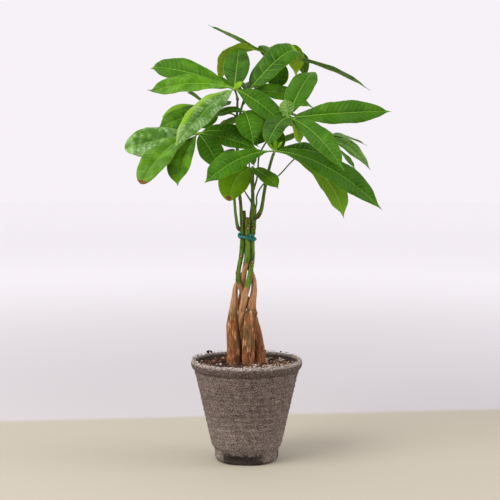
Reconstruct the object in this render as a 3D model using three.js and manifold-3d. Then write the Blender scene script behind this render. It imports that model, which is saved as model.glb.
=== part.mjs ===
// A potted money tree: five braided stems held by one plant tie, a crown of
// hand-shaped compound leaves, and a moulded fibre pot filled with potting mix.
// Millimetres, +Z up, +X to the right and -Y towards the viewer.
// The origin is the centre of the pot's underside.
import * as THREE from "three";
import { mergeVertices } from "three/addons/utils/BufferGeometryUtils.js";
import Module from "manifold-3d";

const wasm = await Module();
wasm.setup();

// ---------------------------------------------------------------- dimensions
const GAP = 0.3; // running gap between pieces that touch

const POT = {
  height: 120,
  rimRadius: 64.9, // outside of the rolled collar
  mouthRadius: 60.8, // outside of the wall just under the collar
  shoulderRadius: 41.3, // outside of the wall above the stacking step
  footRadius: 37.8, // outside of the wall below the step
  baseRadius: 34, // the flat ring that it stands on
  collar: 12,
  shoulderHeight: 19,
  wall: 3,
  floor: 4,
  sides: 44,
  notches: 3, // low drain notches round the foot
  notchTurn: -98, // degrees: where the first notch faces
  notch: [38, 11, 5], // width, height, depth
  holes: 3, // drain holes through the floor
  holeRadius: 4,
  holeRing: 18,
};

const SOIL = { level: 112.4, crown: 1.6, relief: 1.3, rings: 7, sides: 32 };

const STEM = { sides: 10, ringsPerSpan: 1 };

// Centrelines of the five braided stems, from the root end up: x, y, z, radius.
// The lower stretch is the swollen brown base, and the upper one the green stem.
const STEMS = {
  stem_left: [
    [-13, 0, 62, 5.5], [-14.9, -1, 110, 8.2], [-15, -1, 136, 7.8], [-15.6, 0.6, 150, 7.2],
    [-15.8, 1.2, 164, 6.8], [-15.7, 0.8, 172, 5.2], [-15, 0.2, 182, 3.9], [-13.6, 0.4, 194, 3.3],
    [-12.6, 1.8, 204, 2.8], [-8.2, 5.4, 212, 2.8], [-2.8, 6.8, 221, 2.9], [0.8, 9, 231, 2.8],
    [3.4, 9.2, 240, 2.8], [4.8, 6.7, 250, 2.7], [4, 5, 262, 2.7], [5, 5.8, 280, 2.5],
    [7, 8, 303, 2], [6.5, 11, 322, 1.8], [0, 12, 340, 1.7], [-8, 12, 355, 1.6],
    [-11.2, 11.5, 368, 1.6], [-10, 11, 391, 1.5], [-6, 10, 411, 1.4], [-2, 9, 424, 1.3],
  ],
  stem_centre: [
    [1, -7, 62, 5], [1.7, -8, 110, 7.2], [2.6, -8, 136, 7], [3.8, -8, 159, 6.7],
    [5, -7.2, 172, 6.5], [5.6, -6.2, 177, 5.2], [6.6, -5.2, 185, 4.7], [8, -3, 194, 3.8],
    [8.8, -0.4, 204, 3.2], [8.2, 2.2, 212, 3], [5.2, 3.2, 221, 2.9], [2.4, 3.4, 231, 2.8],
    [0.2, 3.2, 240, 2.8], [-0.7, 3.4, 250, 2.7], [-1.9, 3.9, 262, 2.7], [-2.1, 4, 276, 2.4],
    [-2.4, 4, 286, 2], [-3.1, 4.1, 292.5, 1.9],
  ],
  stem_right: [
    [13, 3, 62, 5], [15.6, 3, 110, 7], [15, 3, 126, 6.6], [13.2, 3.4, 142, 6],
    [11, 4, 154, 5.2], [7.8, 4.4, 168, 4.6], [4.4, 4.6, 178, 3.9], [1, 4, 186, 3.5],
    [-2.2, 2.2, 192.5, 3.2], [-5.6, -0.8, 200, 3], [-8.4, -2.8, 207, 3], [-9.8, -3, 213, 2.8],
    [-9.6, -2.4, 221, 2.6], [-8, -1.6, 231, 2.6], [-6.2, -1.7, 240, 2.7], [-5.4, -1.9, 250, 2.7],
    [-4.8, -2.1, 262, 2.7], [-4.8, -2, 272, 2.7], [-5.9, -1.5, 286, 2.2], [-7, -1, 303, 1.75],
    [-8.8, 0, 321, 1.7], [-10.6, 2, 345, 1.6], [-11.1, 4, 365, 1.6], [-11.4, 4, 391, 1.5],
    [-10.8, 3, 410, 1.4], [-10.2, 1, 424, 1.3],
  ],
  stem_front: [
    [-2, 9, 62, 4], [-3, 9.5, 110, 4.4], [-4, 5.5, 122, 3.6], [-4.4, 2.6, 136, 3],
    [-5.2, -2.2, 150, 2.9], [-6, -3.6, 160, 3.3], [-6.1, -4.6, 171, 3.8], [-4.7, -5, 180, 4],
    [-3, -5.6, 188, 3.9], [-2.1, -6.3, 195, 3.9], [0.5, -6.3, 203, 3.6], [2.6, -5.4, 212, 3.2],
    [4.6, -4.2, 222, 2.8], [6, -2.8, 231, 2.7], [7, -1.7, 240, 2.6], [7, -1, 250, 2.5],
    [6.8, -0.9, 262, 2.5], [8, -1.2, 272, 2.8], [8.6, -1.2, 286, 2.9], [8.5, -1.2, 293, 2.5],
    [7.4, -1.5, 303, 2.1], [7.1, -4, 321, 2], [7, -8, 337.5, 1.8],
  ],
  stem_back: [
    [8, 15, 62, 4], [8.5, 16, 110, 5.2], [6, 15.5, 136, 4.6], [0, 13.5, 159, 3.8],
    [-7.5, 9.6, 176, 3.3], [-8, 8.4, 185, 3.2], [-5.6, 8.3, 195, 3.1], [-4.4, 4.9, 204, 3],
    [-4, 0.6, 212, 3], [-2.8, -2.9, 221, 2.9], [-0.9, -4.5, 231, 3.2], [0.8, -4.9, 240, 3.3],
    [1.4, -4.8, 250, 3.1], [0.9, -4.6, 262, 3], [0.8, -4.3, 272, 2.9], [1.2, -3.6, 285, 3],
  ],
};

// The green side shoot that carries the lower right leaves, grown out of stem_front.
const SIDE_SHOOT = [
  [8.6, -1.2, 283, 2], [13.6, -1.6, 287.5, 2.7], [16.8, -2.4, 293.5, 2.3], [18.4, -3.8, 301, 2.1],
  [20.6, -9.5, 316, 1.9], [24.6, -19, 337, 1.8], [29, -28, 354, 1.6], [30.6, -31, 359, 1.5],
];

// The tie: a flat cord wound once round the bundle, with a curl at the knot and one at the left.
const TIE = {
  halfHeight: 1.8,
  flatten: 0.55, // its depth as a share of its height
  sides: 8,
  loop: [
    [8.7, -4.7, 259.4], [10.7, -0.8, 259.8], [10.3, 1.8, 260.2], [7.9, 7, 261], [4, 9.4, 262],
    [-1.5, 8.4, 263], [-5.4, 6.4, 263.6], [-7.6, 2.4, 264], [-9.1, -2, 264], [-8, -5.1, 263.6],
    [-4.6, -7.2, 263], [0.6, -9.2, 262], [3.4, -8.6, 261], [6.2, -6.9, 260], [8, -6.3, 259.4],
  ],
  curls: [
    [[4.2, -8.8, 260.6, 1.3], [4, -9, 263.6, 1.3], [5, -8.8, 265.6, 1.2], [7, -7.8, 264.6, 1.2],
      [8.4, -6.8, 262, 1.3], [8.6, -6, 259, 1.2]],
    [[-5.6, -7, 262.6, 1.2], [-7.8, -5.8, 261.8, 1.2], [-9, -4, 263.6, 1.2], [-8.6, -4.6, 266.4, 1.2],
      [-6.6, -6.4, 267.2, 1.1]],
  ],
};

const LEAF = {
  thickness: 0.8,
  stalkRadius: 0.8, // the short stalk of one leaflet
  hubRadius: 1.9,
  petioleSides: 6,
  fold: 5, // degrees: how far each half of a blade is raised from its rib
  wave: 0.8, // height of the edge's waves
  waves: 3,
  fullest: 0.53, // where along the rib a blade is widest
};

// One leaflet: reach is its tip's place from the hub, bow how far its rib arches
// off the straight line, width its full width, and face where its upper side looks
// at the middle of the rib.
function leaflet(reach, bow, width, face, more = {}) {
  return { reach, bow, width, face, ...more };
}

// Each compound leaf: its petiole from the stem to the hub (x, y, z, radius),
// the stem that it grows on, and its leaflets, spread round the hub like fingers.
const LEAVES = {
  leaf_upper_left: {
    on: "stem_right",
    petiole: [[-10.4, 1.6, 421, 1.2], [-11.6, -2, 427, 1.1], [-14, -8, 433, 1.3]],
    leaflets: [
      leaflet([-99, 13, 26], [0, 0, 10], 32, [0, -0.85, 0.5], { fullest: 0.6 }),
      leaflet([-100, -12, -6], [0, 0, 17], 26, [0, -0.8, 0.6], { fullest: 0.56 }),
      leaflet([-66, -67, -68], [0, 0, 14], 30, [-0.1, -0.8, 0.55], { fullest: 0.5 }),
      leaflet([58, -14, -44], [0, 0, 10], 28, [0.1, -0.85, 0.5]),
      leaflet([5, 55, 50], [0, 0, 3], 31, [0, -0.6, 0.8], { fullest: 0.48, round: true }),
    ],
  },
  leaf_crown: {
    on: "stem_left",
    petiole: [[-2.4, 9.2, 421, 1.2], [-0.8, 8.6, 425, 1.1], [0.5, 8, 429, 1.3]],
    leaflets: [
      leaflet([60, 30, 38], [31, -5, 55], 36, [-0.5, -0.8, 0.3], { fullest: 0.36, round: true }),
      leaflet([80, 37, -17], [0, 0, 17], 27, [0, -0.75, 0.65]),
      leaflet([-4, 90, 10], [0, 0, 16], 27, [0, -0.3, 1]),
      leaflet([-74, 72, 17], [0, 0, 12], 28, [0, -0.3, 1]),
    ],
  },
  leaf_top: {
    on: "stem_left",
    petiole: [
      [-4, 9.5, 417, 1.1], [3.5, 13, 424, 1], [9.4, 17, 434, 0.9], [18.4, 29, 452, 0.9], [30, 45, 474, 1.2],
    ],
    leaflets: [
      leaflet([-76, 15, 38], [0, 0, -2], 22, [0.4, 0.12, 0.9]),
      leaflet([-62, 20, -28], [-20, 10, 42], 36, [-0.4, 0.35, 0.8], { fullest: 0.6, round: true }),
      leaflet([119, 20, -40], [4, 0, 16], 22, [0.3, 0.16, 0.95]),
      leaflet([30, 40, -24], [13, 5, 42], 31, [0.4, 0.5, 0.8]),
      leaflet([7, 6, -40], [4, -6, 2], 28, [0, -1, 0.2]),
      leaflet([43, 70, -26], [12, 6, 38], 25, [0.2, 0.3, 0.9]),
      leaflet([-6, 88, 2], [0, 0, 24], 26, [0, 0, 1]),
    ],
  },
  leaf_right: {
    on: "stem_front",
    petiole: [
      [7.8, -3, 318, 1.2], [11.5, -2, 328, 1], [13, -4, 340, 1], [15, -11, 358, 1], [29, -28, 381, 1],
      [47, -42, 399, 1.3],
    ],
    leaflets: [
      leaflet([118, 22, 8], [0, 0, 3], 31, [0, -0.87, 0.5]),
      leaflet([58, -70, -58], [0, 0, 20], 28, [0, -0.7, 0.7]),
      leaflet([-24, -66, -29], [0, 0, 14], 27, [0, -0.45, 0.9], { round: true }),
      leaflet([13, -14, -29], [6, 2, 2], 22, [0.6, 0.6, 0.5]),
      leaflet([30, 50, 54], [-2, 0, 10], 32, [-0.2, -0.8, 0.6], { round: true }),
      leaflet([-4, -6, 21], [0, -2, 0], 17, [0.2, 1, 0.1]),
    ],
  },
  leaf_front: {
    on: "side_shoot",
    petiole: [[30.4, -30.6, 358.4, 1.3], [31.2, -31.8, 360.2, 1.2], [32, -33, 362, 1.4]],
    leaflets: [
      leaflet([-78, -50, -35], [0, 0, 18], 31, [0, -0.75, 0.65], { fullest: 0.66 }),
      leaflet([118, -43, -65], [0, 0, 28], 33, [0, -0.75, 0.65], { fullest: 0.58 }),
      leaflet([78, -8, -76], [27, 0, 26], 31, [0.45, 0.8, 0.4], { fullest: 0.66 }),
      leaflet([82, 22, -16], [0, 0, 16], 29, [0, -0.5, 0.85]),
      leaflet([-9, -5, 10], [0, 0, 1], 4, [0, -1, 0.3]),
      leaflet([1, -6, 14], [0, -1, 0], 4.4, [0, -1, 0.3]),
      leaflet([9, -3, 11], [0, 0, 1], 3.6, [0, -1, 0.3]),
    ],
  },
  leaf_middle: {
    on: "stem_front",
    petiole: [
      [6.4, -4.6, 326, 1.1], [3.6, -4, 334, 0.9], [3.2, -6, 350, 0.8], [3, -7.5, 366, 0.8],
      [1.6, -8, 388, 0.8], [-3, -8, 407, 1.1],
    ],
    leaflets: [
      leaflet([11, -34, -38], [0, -4, 14], 31, [0, -0.75, 0.65]),
      leaflet([34, 4, -22], [0, 0, 10], 22, [0, -0.5, 0.9]),
      leaflet([-32, -8, -6], [0, 0, 8], 20, [0, -0.5, 0.9]),
    ],
  },
  leaf_left: {
    on: "stem_right",
    petiole: [
      [-4.8, -2, 269, 1.8], [-9.6, -2.2, 273, 2], [-12.4, -2.4, 287, 1.7], [-13.8, -2.6, 302, 1.6],
      [-15.4, -3.4, 322, 1.4], [-24, -8, 350, 1.2], [-42, -16, 371, 1.1], [-55, -20, 382, 1.4],
    ],
    leaflets: [
      leaflet([-83, -10, -18], [0, 0, 4], 35, [0.05, -0.9, 0.4], { fullest: 0.66, round: true }),
      leaflet([-67, -36, -53], [-4, 0, 18], 22, [-0.5, -0.4, 0.8]),
      leaflet([-60, -62, -56], [-7, 0, 20], 34, [-0.2, -0.7, 0.6], { fullest: 0.68, round: true }),
      leaflet([-21, -45, -59], [-15, -12, 4], 28, [-0.2, -0.9, 0.3]),
      leaflet([27, -25, -42], [0, -6, 6], 28, [0.1, -0.9, 0.4]),
      leaflet([70, 2, -16], [0, 0, 19], 24, [0, -0.7, 0.7]),
      leaflet([68, -16, -18], [0, 0, 5], 22, [0, -0.8, 0.6]),
      leaflet([-34, 46, -16], [0, 0, 10], 26, [0, -0.2, 1]),
    ],
  },
  leaf_back_left: {
    on: "stem_right",
    petiole: [[-11.2, 3.8, 401, 1.1], [-17, 10, 405, 0.9], [-25, 20, 405.5, 0.9], [-34, 28, 407, 1.2]],
    leaflets: [
      leaflet([-70, -23, -20], [0, 0, 9], 30, [-0.1, -0.8, 0.55]),
      leaflet([-66, 14, -5], [0, 0, 10], 23, [0, -0.7, 0.7], { fullest: 0.66, round: true }),
      leaflet([-20, -30, -20], [0, -4, 4], 20, [0, -0.8, 0.5]),
      leaflet([-38, 32, 25], [0, 0, 2], 25, [0.2, 0.3, 0.9]),
      leaflet([5, 74, 10], [0, 0, 12], 26, [0, 0, 1]),
    ],
  },
  leaf_low: {
    on: "stem_front",
    petiole: [[7, -7, 335, 1.2], [7, -9.5, 339, 1.1], [7, -12, 343, 1.3]],
    leaflets: [
      leaflet([29, -44, -23], [0, -4, 5], 21, [0, -0.6, 0.8]),
      leaflet([-26, -36, -37], [-11, -4, 12], 36, [-0.1, -0.85, 0.45], { round: true }),
    ],
  },
  leaf_back_right: {
    on: "stem_front",
    petiole: [
      [9.4, 0.4, 293, 1.2], [11.6, 2.4, 301, 1], [12, 2.6, 310, 0.9], [20, 2, 324, 0.9],
      [36.4, 3, 333, 0.8], [52, 12, 349, 0.8], [86, 45, 379, 1.2],
    ],
    leaflets: [
      leaflet([61, -10, -40], [4, 0, 18], 26, [0.4, -0.5, 0.7]),
      leaflet([60, 25, -11], [0, 0, 10], 20, [0.2, -0.2, 1]),
      leaflet([42, -34, -40], [4, 0, 6], 17, [0.9, -0.5, 0.4]),
      leaflet([8, 78, -6], [0, 0, 14], 27, [0, 0, 1]),
      leaflet([-44, 56, -8], [0, 0, 12], 26, [0, 0, 1]),
      leaflet([52, 62, -24], [0, 0, 12], 25, [0, 0, 1]),
    ],
  },
  leaf_low_back: {
    on: "stem_front",
    petiole: [
      [7.4, -1.5, 301, 1.2], [0.4, 3.4, 311, 0.9], [-3.6, 7.6, 317.5, 0.8], [-13, 20, 334, 0.9],
      [-24, 35, 355, 1.2],
    ],
    leaflets: [
      leaflet([-8, 68, -6], [0, 0, 18], 28, [0, 0, 1]),
      leaflet([34, 60, -12], [0, 0, 16], 27, [0, 0, 1]),
      leaflet([11, -6, -44], [0, 6, 4], 22, [0, 0.9, 0.3]),
    ],
  },
  leaf_back: {
    on: "stem_left",
    petiole: [[-2, 12, 343, 1.2], [3, 24, 359, 0.9], [10, 46, 382, 0.9], [18, 68, 398, 1.2]],
    leaflets: [
      leaflet([0, 84, -14], [0, 0, 20], 29, [0, 0, 1]),
      leaflet([42, 66, -8], [0, 0, 18], 27, [0, 0, 1]),
      leaflet([-58, 48, -14], [0, 0, 16], 27, [0, 0, 1]),
      leaflet([50, -2, 2], [0, 0, 14], 23, [0, 0, 1]),
      leaflet([-46, -10, -2], [0, 0, 10], 23, [0, 0, 1]),
      leaflet([-6, -14, -30], [0, -8, 2], 25, [0, -1, 0.3]),
      leaflet([25, -12, -38], [2, -8, 4], 24, [0.1, -1, 0.4]),
    ],
  },
};

// ---------------------------------------------------------------- materials
const finish = (color, roughness) => new THREE.MeshStandardMaterial({ color, roughness, metalness: 0 });
const MATERIALS = {
  fibre: finish(0x75655d, 0.95),
  soil: finish(0x3b281e, 1),
  bark: finish(0x8a5f43, 0.85),
  leaf: finish(0x3f8423, 0.45),
  tie: finish(0x177f74, 0.5),
};

// ---------------------------------------------------------------- solids
const V = (x, y, z) => new THREE.Vector3(x, y, z);
const clamp01 = (x) => Math.min(1, Math.max(0, x));
const smoothstep = (from, to, x) => {
  const s = clamp01((x - from) / (to - from));
  return s * s * (3 - 2 * s);
};

// A closed three.js geometry as a solid that can be joined and cut.
function solidOf(geometry) {
  const bare = geometry.clone();
  bare.deleteAttribute("normal");
  bare.deleteAttribute("uv");
  const merged = mergeVertices(bare, 1e-4);
  const index = merged.index.array;
  const kept = [];
  for (let i = 0; i < index.length; i += 3) {
    const [a, b, c] = [index[i], index[i + 1], index[i + 2]];
    if (a !== b && b !== c && a !== c) kept.push(a, b, c);
  }
  const solid = new wasm.Manifold(
    new wasm.Mesh({
      numProp: 3,
      vertProperties: new Float32Array(merged.attributes.position.array),
      triVerts: new Uint32Array(kept),
    }),
  );
  if (solid.volume() < 0) throw new Error("a solid is inside out");
  return solid;
}

function geometryOf(solid) {
  const mesh = solid.getMesh();
  const positions = new Float32Array(mesh.numVert * 3);
  for (let i = 0; i < mesh.numVert; i++) {
    positions.set(mesh.vertProperties.subarray(i * mesh.numProp, i * mesh.numProp + 3), i * 3);
  }
  const geometry = new THREE.BufferGeometry();
  geometry.setAttribute("position", new THREE.BufferAttribute(positions, 3));
  geometry.setIndex(new THREE.BufferAttribute(new Uint32Array(mesh.triVerts), 1));
  geometry.computeVertexNormals();
  return geometry;
}

const join = (solids) => solids.reduce((whole, piece) => whole.add(piece));

// three.js turns its lathes round +Y: this stands them up on +Z.
const standUp = (geometry) => geometry.rotateX(Math.PI / 2);

// A round limb: a lathed profile of the given radii, bent along its centreline.
function limb(stations, { sides = STEM.sides, rings = STEM.ringsPerSpan, extra = 0, flatten = 1 } = {}) {
  const curve = new THREE.CatmullRomCurve3(stations.map(([x, y, z]) => V(x, y, z)));
  const last = stations.length - 1;
  const count = last * rings;
  const radiusAt = (s) => {
    const i = Math.min(last - 1, Math.floor(s));
    return THREE.MathUtils.lerp(stations[i][3], stations[i + 1][3], s - i) + extra;
  };
  const frames = [];
  let normal = V(1, 0, 0);
  for (let k = 0; k <= count; k++) {
    const centre = curve.getPoint(k / count);
    const tangent = curve.getTangent(k / count);
    normal = normal.clone().addScaledVector(tangent, -normal.dot(tangent)).normalize();
    frames.push({ centre, normal, binormal: tangent.clone().cross(normal) });
  }
  const profile = [new THREE.Vector2(0, 0)];
  for (let k = 0; k <= count; k++) profile.push(new THREE.Vector2(radiusAt(k / rings), k));
  profile.push(new THREE.Vector2(0, count));
  const geometry = new THREE.LatheGeometry(profile, sides);
  const position = geometry.attributes.position;
  for (let i = 0; i < position.count; i++) {
    const { centre, normal: n, binormal: b } = frames[Math.round(position.getY(i))];
    const point = centre.clone();
    point.addScaledVector(n, position.getZ(i) * flatten).addScaledVector(b, position.getX(i));
    position.setXYZ(i, point.x, point.y, point.z);
  }
  return solidOf(geometry);
}

// Half the width of a blade at t, as a share of its widest: a narrow foot, a full
// middle and a drawn-out tip, or a rounded end where the tip curls under.
function outline(t, fullest, round) {
  const s = clamp01((t - 0.05) / 0.95);
  const body = Math.sin(Math.PI * s ** (Math.log(0.5) / Math.log(fullest)));
  return round ? body ** 0.55 : body ** 0.7 * (1 - 0.3 * smoothstep(0.86, 0.97, t));
}

// The run of one leaflet: at t it gives the rib's point, the way across, the way up
// and half the width. The blade keeps its lean to the rib as the rib arches.
function runOf(hub, piece) {
  const reach = V(...piece.reach);
  const middle = hub.clone().addScaledVector(reach, 0.5).add(V(...piece.bow));
  const rib = new THREE.QuadraticBezierCurve3(hub, middle, hub.clone().add(reach));
  const along = reach.clone().normalize();
  const hinge = V(...piece.bow).cross(along).normalize();
  const upright = V(...piece.face).addScaledVector(along, -V(...piece.face).dot(along)).normalize();
  const lean = upright.dot(hinge);
  const rise = upright.dot(hinge.clone().cross(along));
  return (t) => {
    const tangent = rib.getTangent(t);
    const up = hinge.clone().multiplyScalar(lean).addScaledVector(hinge.clone().cross(tangent), rise);
    const share = outline(t, piece.fullest ?? LEAF.fullest, piece.round);
    const half = Math.max(LEAF.stalkRadius, (piece.width / 2) * share);
    return { centre: rib.getPoint(t), side: tangent.clone().cross(up), up, half };
  };
}

// One leaflet: a thin blade, folded along its rib, with waved edges.
const BLADE_STATIONS = [0, 0.08, 0.19, 0.34, 0.5, 0.66, 0.8, 0.9, 0.96, 1];
function blade(hub, piece, index) {
  const run = runOf(hub, piece);
  const fold = THREE.MathUtils.degToRad(piece.fold ?? LEAF.fold);
  const points = [];
  BLADE_STATIONS.forEach((t) => {
    const { centre, side, up, half } = run(t);
    const thick = THREE.MathUtils.lerp(2 * LEAF.stalkRadius, LEAF.thickness, smoothstep(0.02, 0.17, t)) / 2;
    const leafy = half > 2 ? 1 : 0;
    const ripple = (turn) => LEAF.wave * Math.sin(2 * Math.PI * (LEAF.waves * t + turn));
    const edge = (turn) => leafy * (half * Math.sin(fold) + ripple(turn));
    const across = [
      [-half * Math.cos(fold), edge(0.37 * index)],
      [0, 0],
      [half * Math.cos(fold), edge(0.37 * index + 0.4)],
    ];
    for (const level of [thick, -thick]) {
      for (const [out, high] of across) {
        points.push(centre.clone().addScaledVector(side, out).addScaledVector(up, high + level));
      }
    }
  });
  return solidOf(sheetGeometry(points, BLADE_STATIONS.length));
}

// Closes rows of six points (three above, three below) into one thin sheet.
// Both faces are split along the same diagonals.
function sheetGeometry(points, rows) {
  const index = [];
  const at = (row, column, below) => row * 6 + column + (below ? 3 : 0);
  const quad = (a, b, c, d) => index.push(a, b, c, a, c, d);
  for (let row = 0; row < rows - 1; row++) {
    for (let column = 0; column < 2; column++) {
      quad(at(row, column), at(row, column + 1), at(row + 1, column + 1), at(row + 1, column));
      index.push(at(row, column, true), at(row + 1, column + 1, true), at(row, column + 1, true));
      index.push(at(row, column, true), at(row + 1, column, true), at(row + 1, column + 1, true));
    }
    quad(at(row, 0), at(row + 1, 0), at(row + 1, 0, true), at(row, 0, true));
    quad(at(row, 2), at(row, 2, true), at(row + 1, 2, true), at(row + 1, 2));
  }
  for (let column = 0; column < 2; column++) {
    quad(at(0, column), at(0, column, true), at(0, column + 1, true), at(0, column + 1));
    const end = rows - 1;
    quad(at(end, column), at(end, column + 1), at(end, column + 1, true), at(end, column, true));
  }
  const geometry = new THREE.BufferGeometry().setFromPoints(points);
  geometry.setIndex(index);
  return geometry;
}

// ---------------------------------------------------------------- pieces
function buildPot() {
  const { height, wall, floor, collar, shoulderHeight } = POT;
  const under = height - collar - 1.5;
  const outside = [
    [0, 0], [POT.baseRadius, 0], [POT.footRadius - 0.8, 3], [POT.footRadius, shoulderHeight - 4],
    [POT.shoulderRadius - 0.6, shoulderHeight - 1], [POT.shoulderRadius, shoulderHeight + 1],
    [POT.mouthRadius, under], [POT.rimRadius - 1.6, under + 2.5], [POT.rimRadius, under + 6],
    [POT.rimRadius, height - 3.5], [POT.rimRadius - 1, height - 1], [POT.rimRadius - 2.8, height],
  ];
  const inside = [
    [POT.rimRadius - 5, height - 1.2], [POT.mouthRadius - wall + 0.6, under + 1],
    [POT.shoulderRadius - wall, shoulderHeight], [POT.footRadius - 5, 12], [24, floor], [0, floor],
  ];
  const profile = [...outside, ...inside].map(([r, z]) => new THREE.Vector2(r, z));
  let pot = solidOf(standUp(new THREE.LatheGeometry(profile, POT.sides)));
  const [notchWidth, notchHeight, notchDepth] = POT.notch;
  for (let i = 0; i < POT.notches; i++) {
    const turn = THREE.MathUtils.degToRad(POT.notchTurn + (360 / POT.notches) * i);
    const notch = new THREE.BoxGeometry(2 * notchDepth, notchWidth, 2 * notchHeight);
    pot = pot.subtract(solidOf(notch.translate(POT.footRadius, 0, 0).rotateZ(turn)));
  }
  for (let i = 0; i < POT.holes; i++) {
    const hole = standUp(new THREE.CylinderGeometry(POT.holeRadius, POT.holeRadius, 6 * floor, 16));
    const turn = THREE.MathUtils.degToRad(POT.notchTurn + (360 / POT.holes) * (i + 0.5));
    pot = pot.subtract(solidOf(hole.translate(POT.holeRing, 0, 0).rotateZ(turn)));
  }
  return pot;
}

// Small lumps in the potting mix, by a formula.
function lumps(x, y) {
  const across = Math.sin(x * 0.53 + 1.7 * Math.sin(y * 0.31));
  const along = Math.cos(y * 0.47 + 1.3 * Math.sin(x * 0.37));
  return SOIL.relief * across * along;
}

function buildSoil(stems) {
  const { wall, floor, shoulderHeight } = POT;
  const gap = GAP + 0.1;
  const under = POT.height - POT.collar - 0.5;
  const wallAt = (z) =>
    THREE.MathUtils.mapLinear(
      Math.min(z, under), shoulderHeight, under,
      POT.shoulderRadius - wall, POT.mouthRadius + 0.6 - wall,
    ) - gap;
  const rim = wallAt(SOIL.level);
  const profile = [
    [0, floor + gap], [24 - gap, floor + gap], [POT.footRadius - 5 - gap, 12 + gap],
    [wallAt(shoulderHeight), shoulderHeight], [wallAt(under), under], [rim, SOIL.level],
  ];
  for (let ring = SOIL.rings - 1; ring >= 0; ring--) {
    const share = ring / SOIL.rings;
    profile.push([rim * share, SOIL.level + SOIL.crown * (1 - share * share)]);
  }
  const points = profile.map(([r, z]) => new THREE.Vector2(r, z));
  const geometry = standUp(new THREE.LatheGeometry(points, SOIL.sides));
  const position = geometry.attributes.position;
  for (let i = 0; i < position.count; i++) {
    const [x, y, z] = [position.getX(i), position.getY(i), position.getZ(i)];
    if (z > SOIL.level + 0.01) position.setZ(i, z + lumps(x, y));
  }
  return stems.reduce((soil, stem) => soil.subtract(stem), solidOf(geometry));
}

function buildTie() {
  const { loop, curls, halfHeight, flatten, sides } = TIE;
  const strand = limb(loop.map((point) => [...point, halfHeight]), { sides, flatten });
  return join([strand, ...curls.map((curl) => limb(curl, { sides }))]);
}

function buildLeaf({ petiole, leaflets }) {
  const hub = V(...petiole.at(-1).slice(0, 3));
  const knob = new THREE.IcosahedronGeometry(LEAF.hubRadius, 0).translate(hub.x, hub.y, hub.z);
  return join([
    limb(petiole, { sides: LEAF.petioleSides }),
    solidOf(knob),
    ...leaflets.map((piece, index) => blade(hub, piece, index)),
  ]);
}

// ---------------------------------------------------------------- assembly
const moneyTree = new THREE.Group();
function place(name, solid, material) {
  const mesh = new THREE.Mesh(geometryOf(solid), material);
  mesh.name = name;
  moneyTree.add(mesh);
}

const branches = { ...STEMS, side_shoot: SIDE_SHOOT };
const inflated = Object.fromEntries(
  Object.entries(branches).map(([name, stations]) => [name, limb(stations, { extra: GAP })]),
);

place("pot", buildPot(), MATERIALS.fibre);
place("soil", buildSoil(Object.keys(STEMS).map((name) => inflated[name])), MATERIALS.soil);
for (const [name, stations] of Object.entries(STEMS)) {
  const pieces = [limb(stations)];
  if (name === "stem_front") pieces.push(limb(SIDE_SHOOT));
  place(name, join(pieces), MATERIALS.bark);
}
place("tie", buildTie(), MATERIALS.tie);
for (const [name, leaf] of Object.entries(LEAVES)) {
  place(name, buildLeaf(leaf).subtract(inflated[leaf.on]), MATERIALS.leaf);
}

export default moneyTree;
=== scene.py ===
import math
import random

import bpy
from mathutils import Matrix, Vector, noise


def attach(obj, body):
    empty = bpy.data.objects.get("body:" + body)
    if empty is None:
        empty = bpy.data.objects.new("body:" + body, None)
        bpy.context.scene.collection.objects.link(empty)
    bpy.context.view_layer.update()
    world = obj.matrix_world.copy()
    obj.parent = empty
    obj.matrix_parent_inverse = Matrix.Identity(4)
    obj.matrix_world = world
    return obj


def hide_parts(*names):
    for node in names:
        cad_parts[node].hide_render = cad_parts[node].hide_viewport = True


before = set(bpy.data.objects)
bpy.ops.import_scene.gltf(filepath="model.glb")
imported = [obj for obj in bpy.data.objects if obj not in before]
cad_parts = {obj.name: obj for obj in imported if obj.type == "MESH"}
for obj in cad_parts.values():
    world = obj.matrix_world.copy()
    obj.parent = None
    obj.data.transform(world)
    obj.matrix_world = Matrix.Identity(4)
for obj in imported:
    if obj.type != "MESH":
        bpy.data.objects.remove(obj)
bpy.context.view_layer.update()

# A potted money tree: braided stems, hand-shaped leaves, a plant tie and a moulded fibre pot.
# The tables are in millimetres, in the frame's own place, and mm turns them into metres.
mm = 0.001


# helpers for numbers
def clamp(x, low=0.0, high=1.0):
    return min(high, max(low, x))


def blendOf(a, b, share):
    return a + (b - a) * share


def smooth(start, end, x):  # eases from 0, where x is at the start, to 1 at the end
    s = clamp((x - start) / (end - start))
    return s * s * (3 - 2 * s)


def bump(x, centre, width):  # a soft hump, 1 at its centre
    return math.exp(-(((x - centre) / width) ** 2))


def grainAt(x, y, z, size):  # even noise from -1 to 1, with features of about that size
    return noise.noise(Vector((x, y, z)) / size)


def ringGrain(angle, spread, along, shift=0.0, size=1):  # the same noise, wrapped round a limb
    return grainAt(math.cos(angle) * spread, math.sin(angle) * spread + shift, along, size)


def polar(radius, turn):
    return radius * math.cos(turn), radius * math.sin(turn)


def turnsOf(count):  # the angles of even steps round a circle
    return [2 * math.pi * i / count for i in range(count)]


# a shape gathers points, faces and three marks for each point, which its materials read
markNames = ("place", "grain", "tint")


def newShape():
    return {"points": [], "faces": [], "finish": [], "marks": {name: [] for name in markNames}}


def addPoint(shape, point, place=(0, 0, 0), grain=(0, 0, 0), tint=(0, 0, 0)):  # point in mm
    shape["points"].append(tuple(Vector(point) * mm))
    for name, mark in zip(markNames, (place, grain, tint)):
        shape["marks"][name].append(tuple(mark))
    return len(shape["points"]) - 1


def addFace(shape, corners, flip=False, finish=0):
    shape["faces"].append(corners[::-1] if flip else corners)
    shape["finish"].append(finish)


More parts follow.
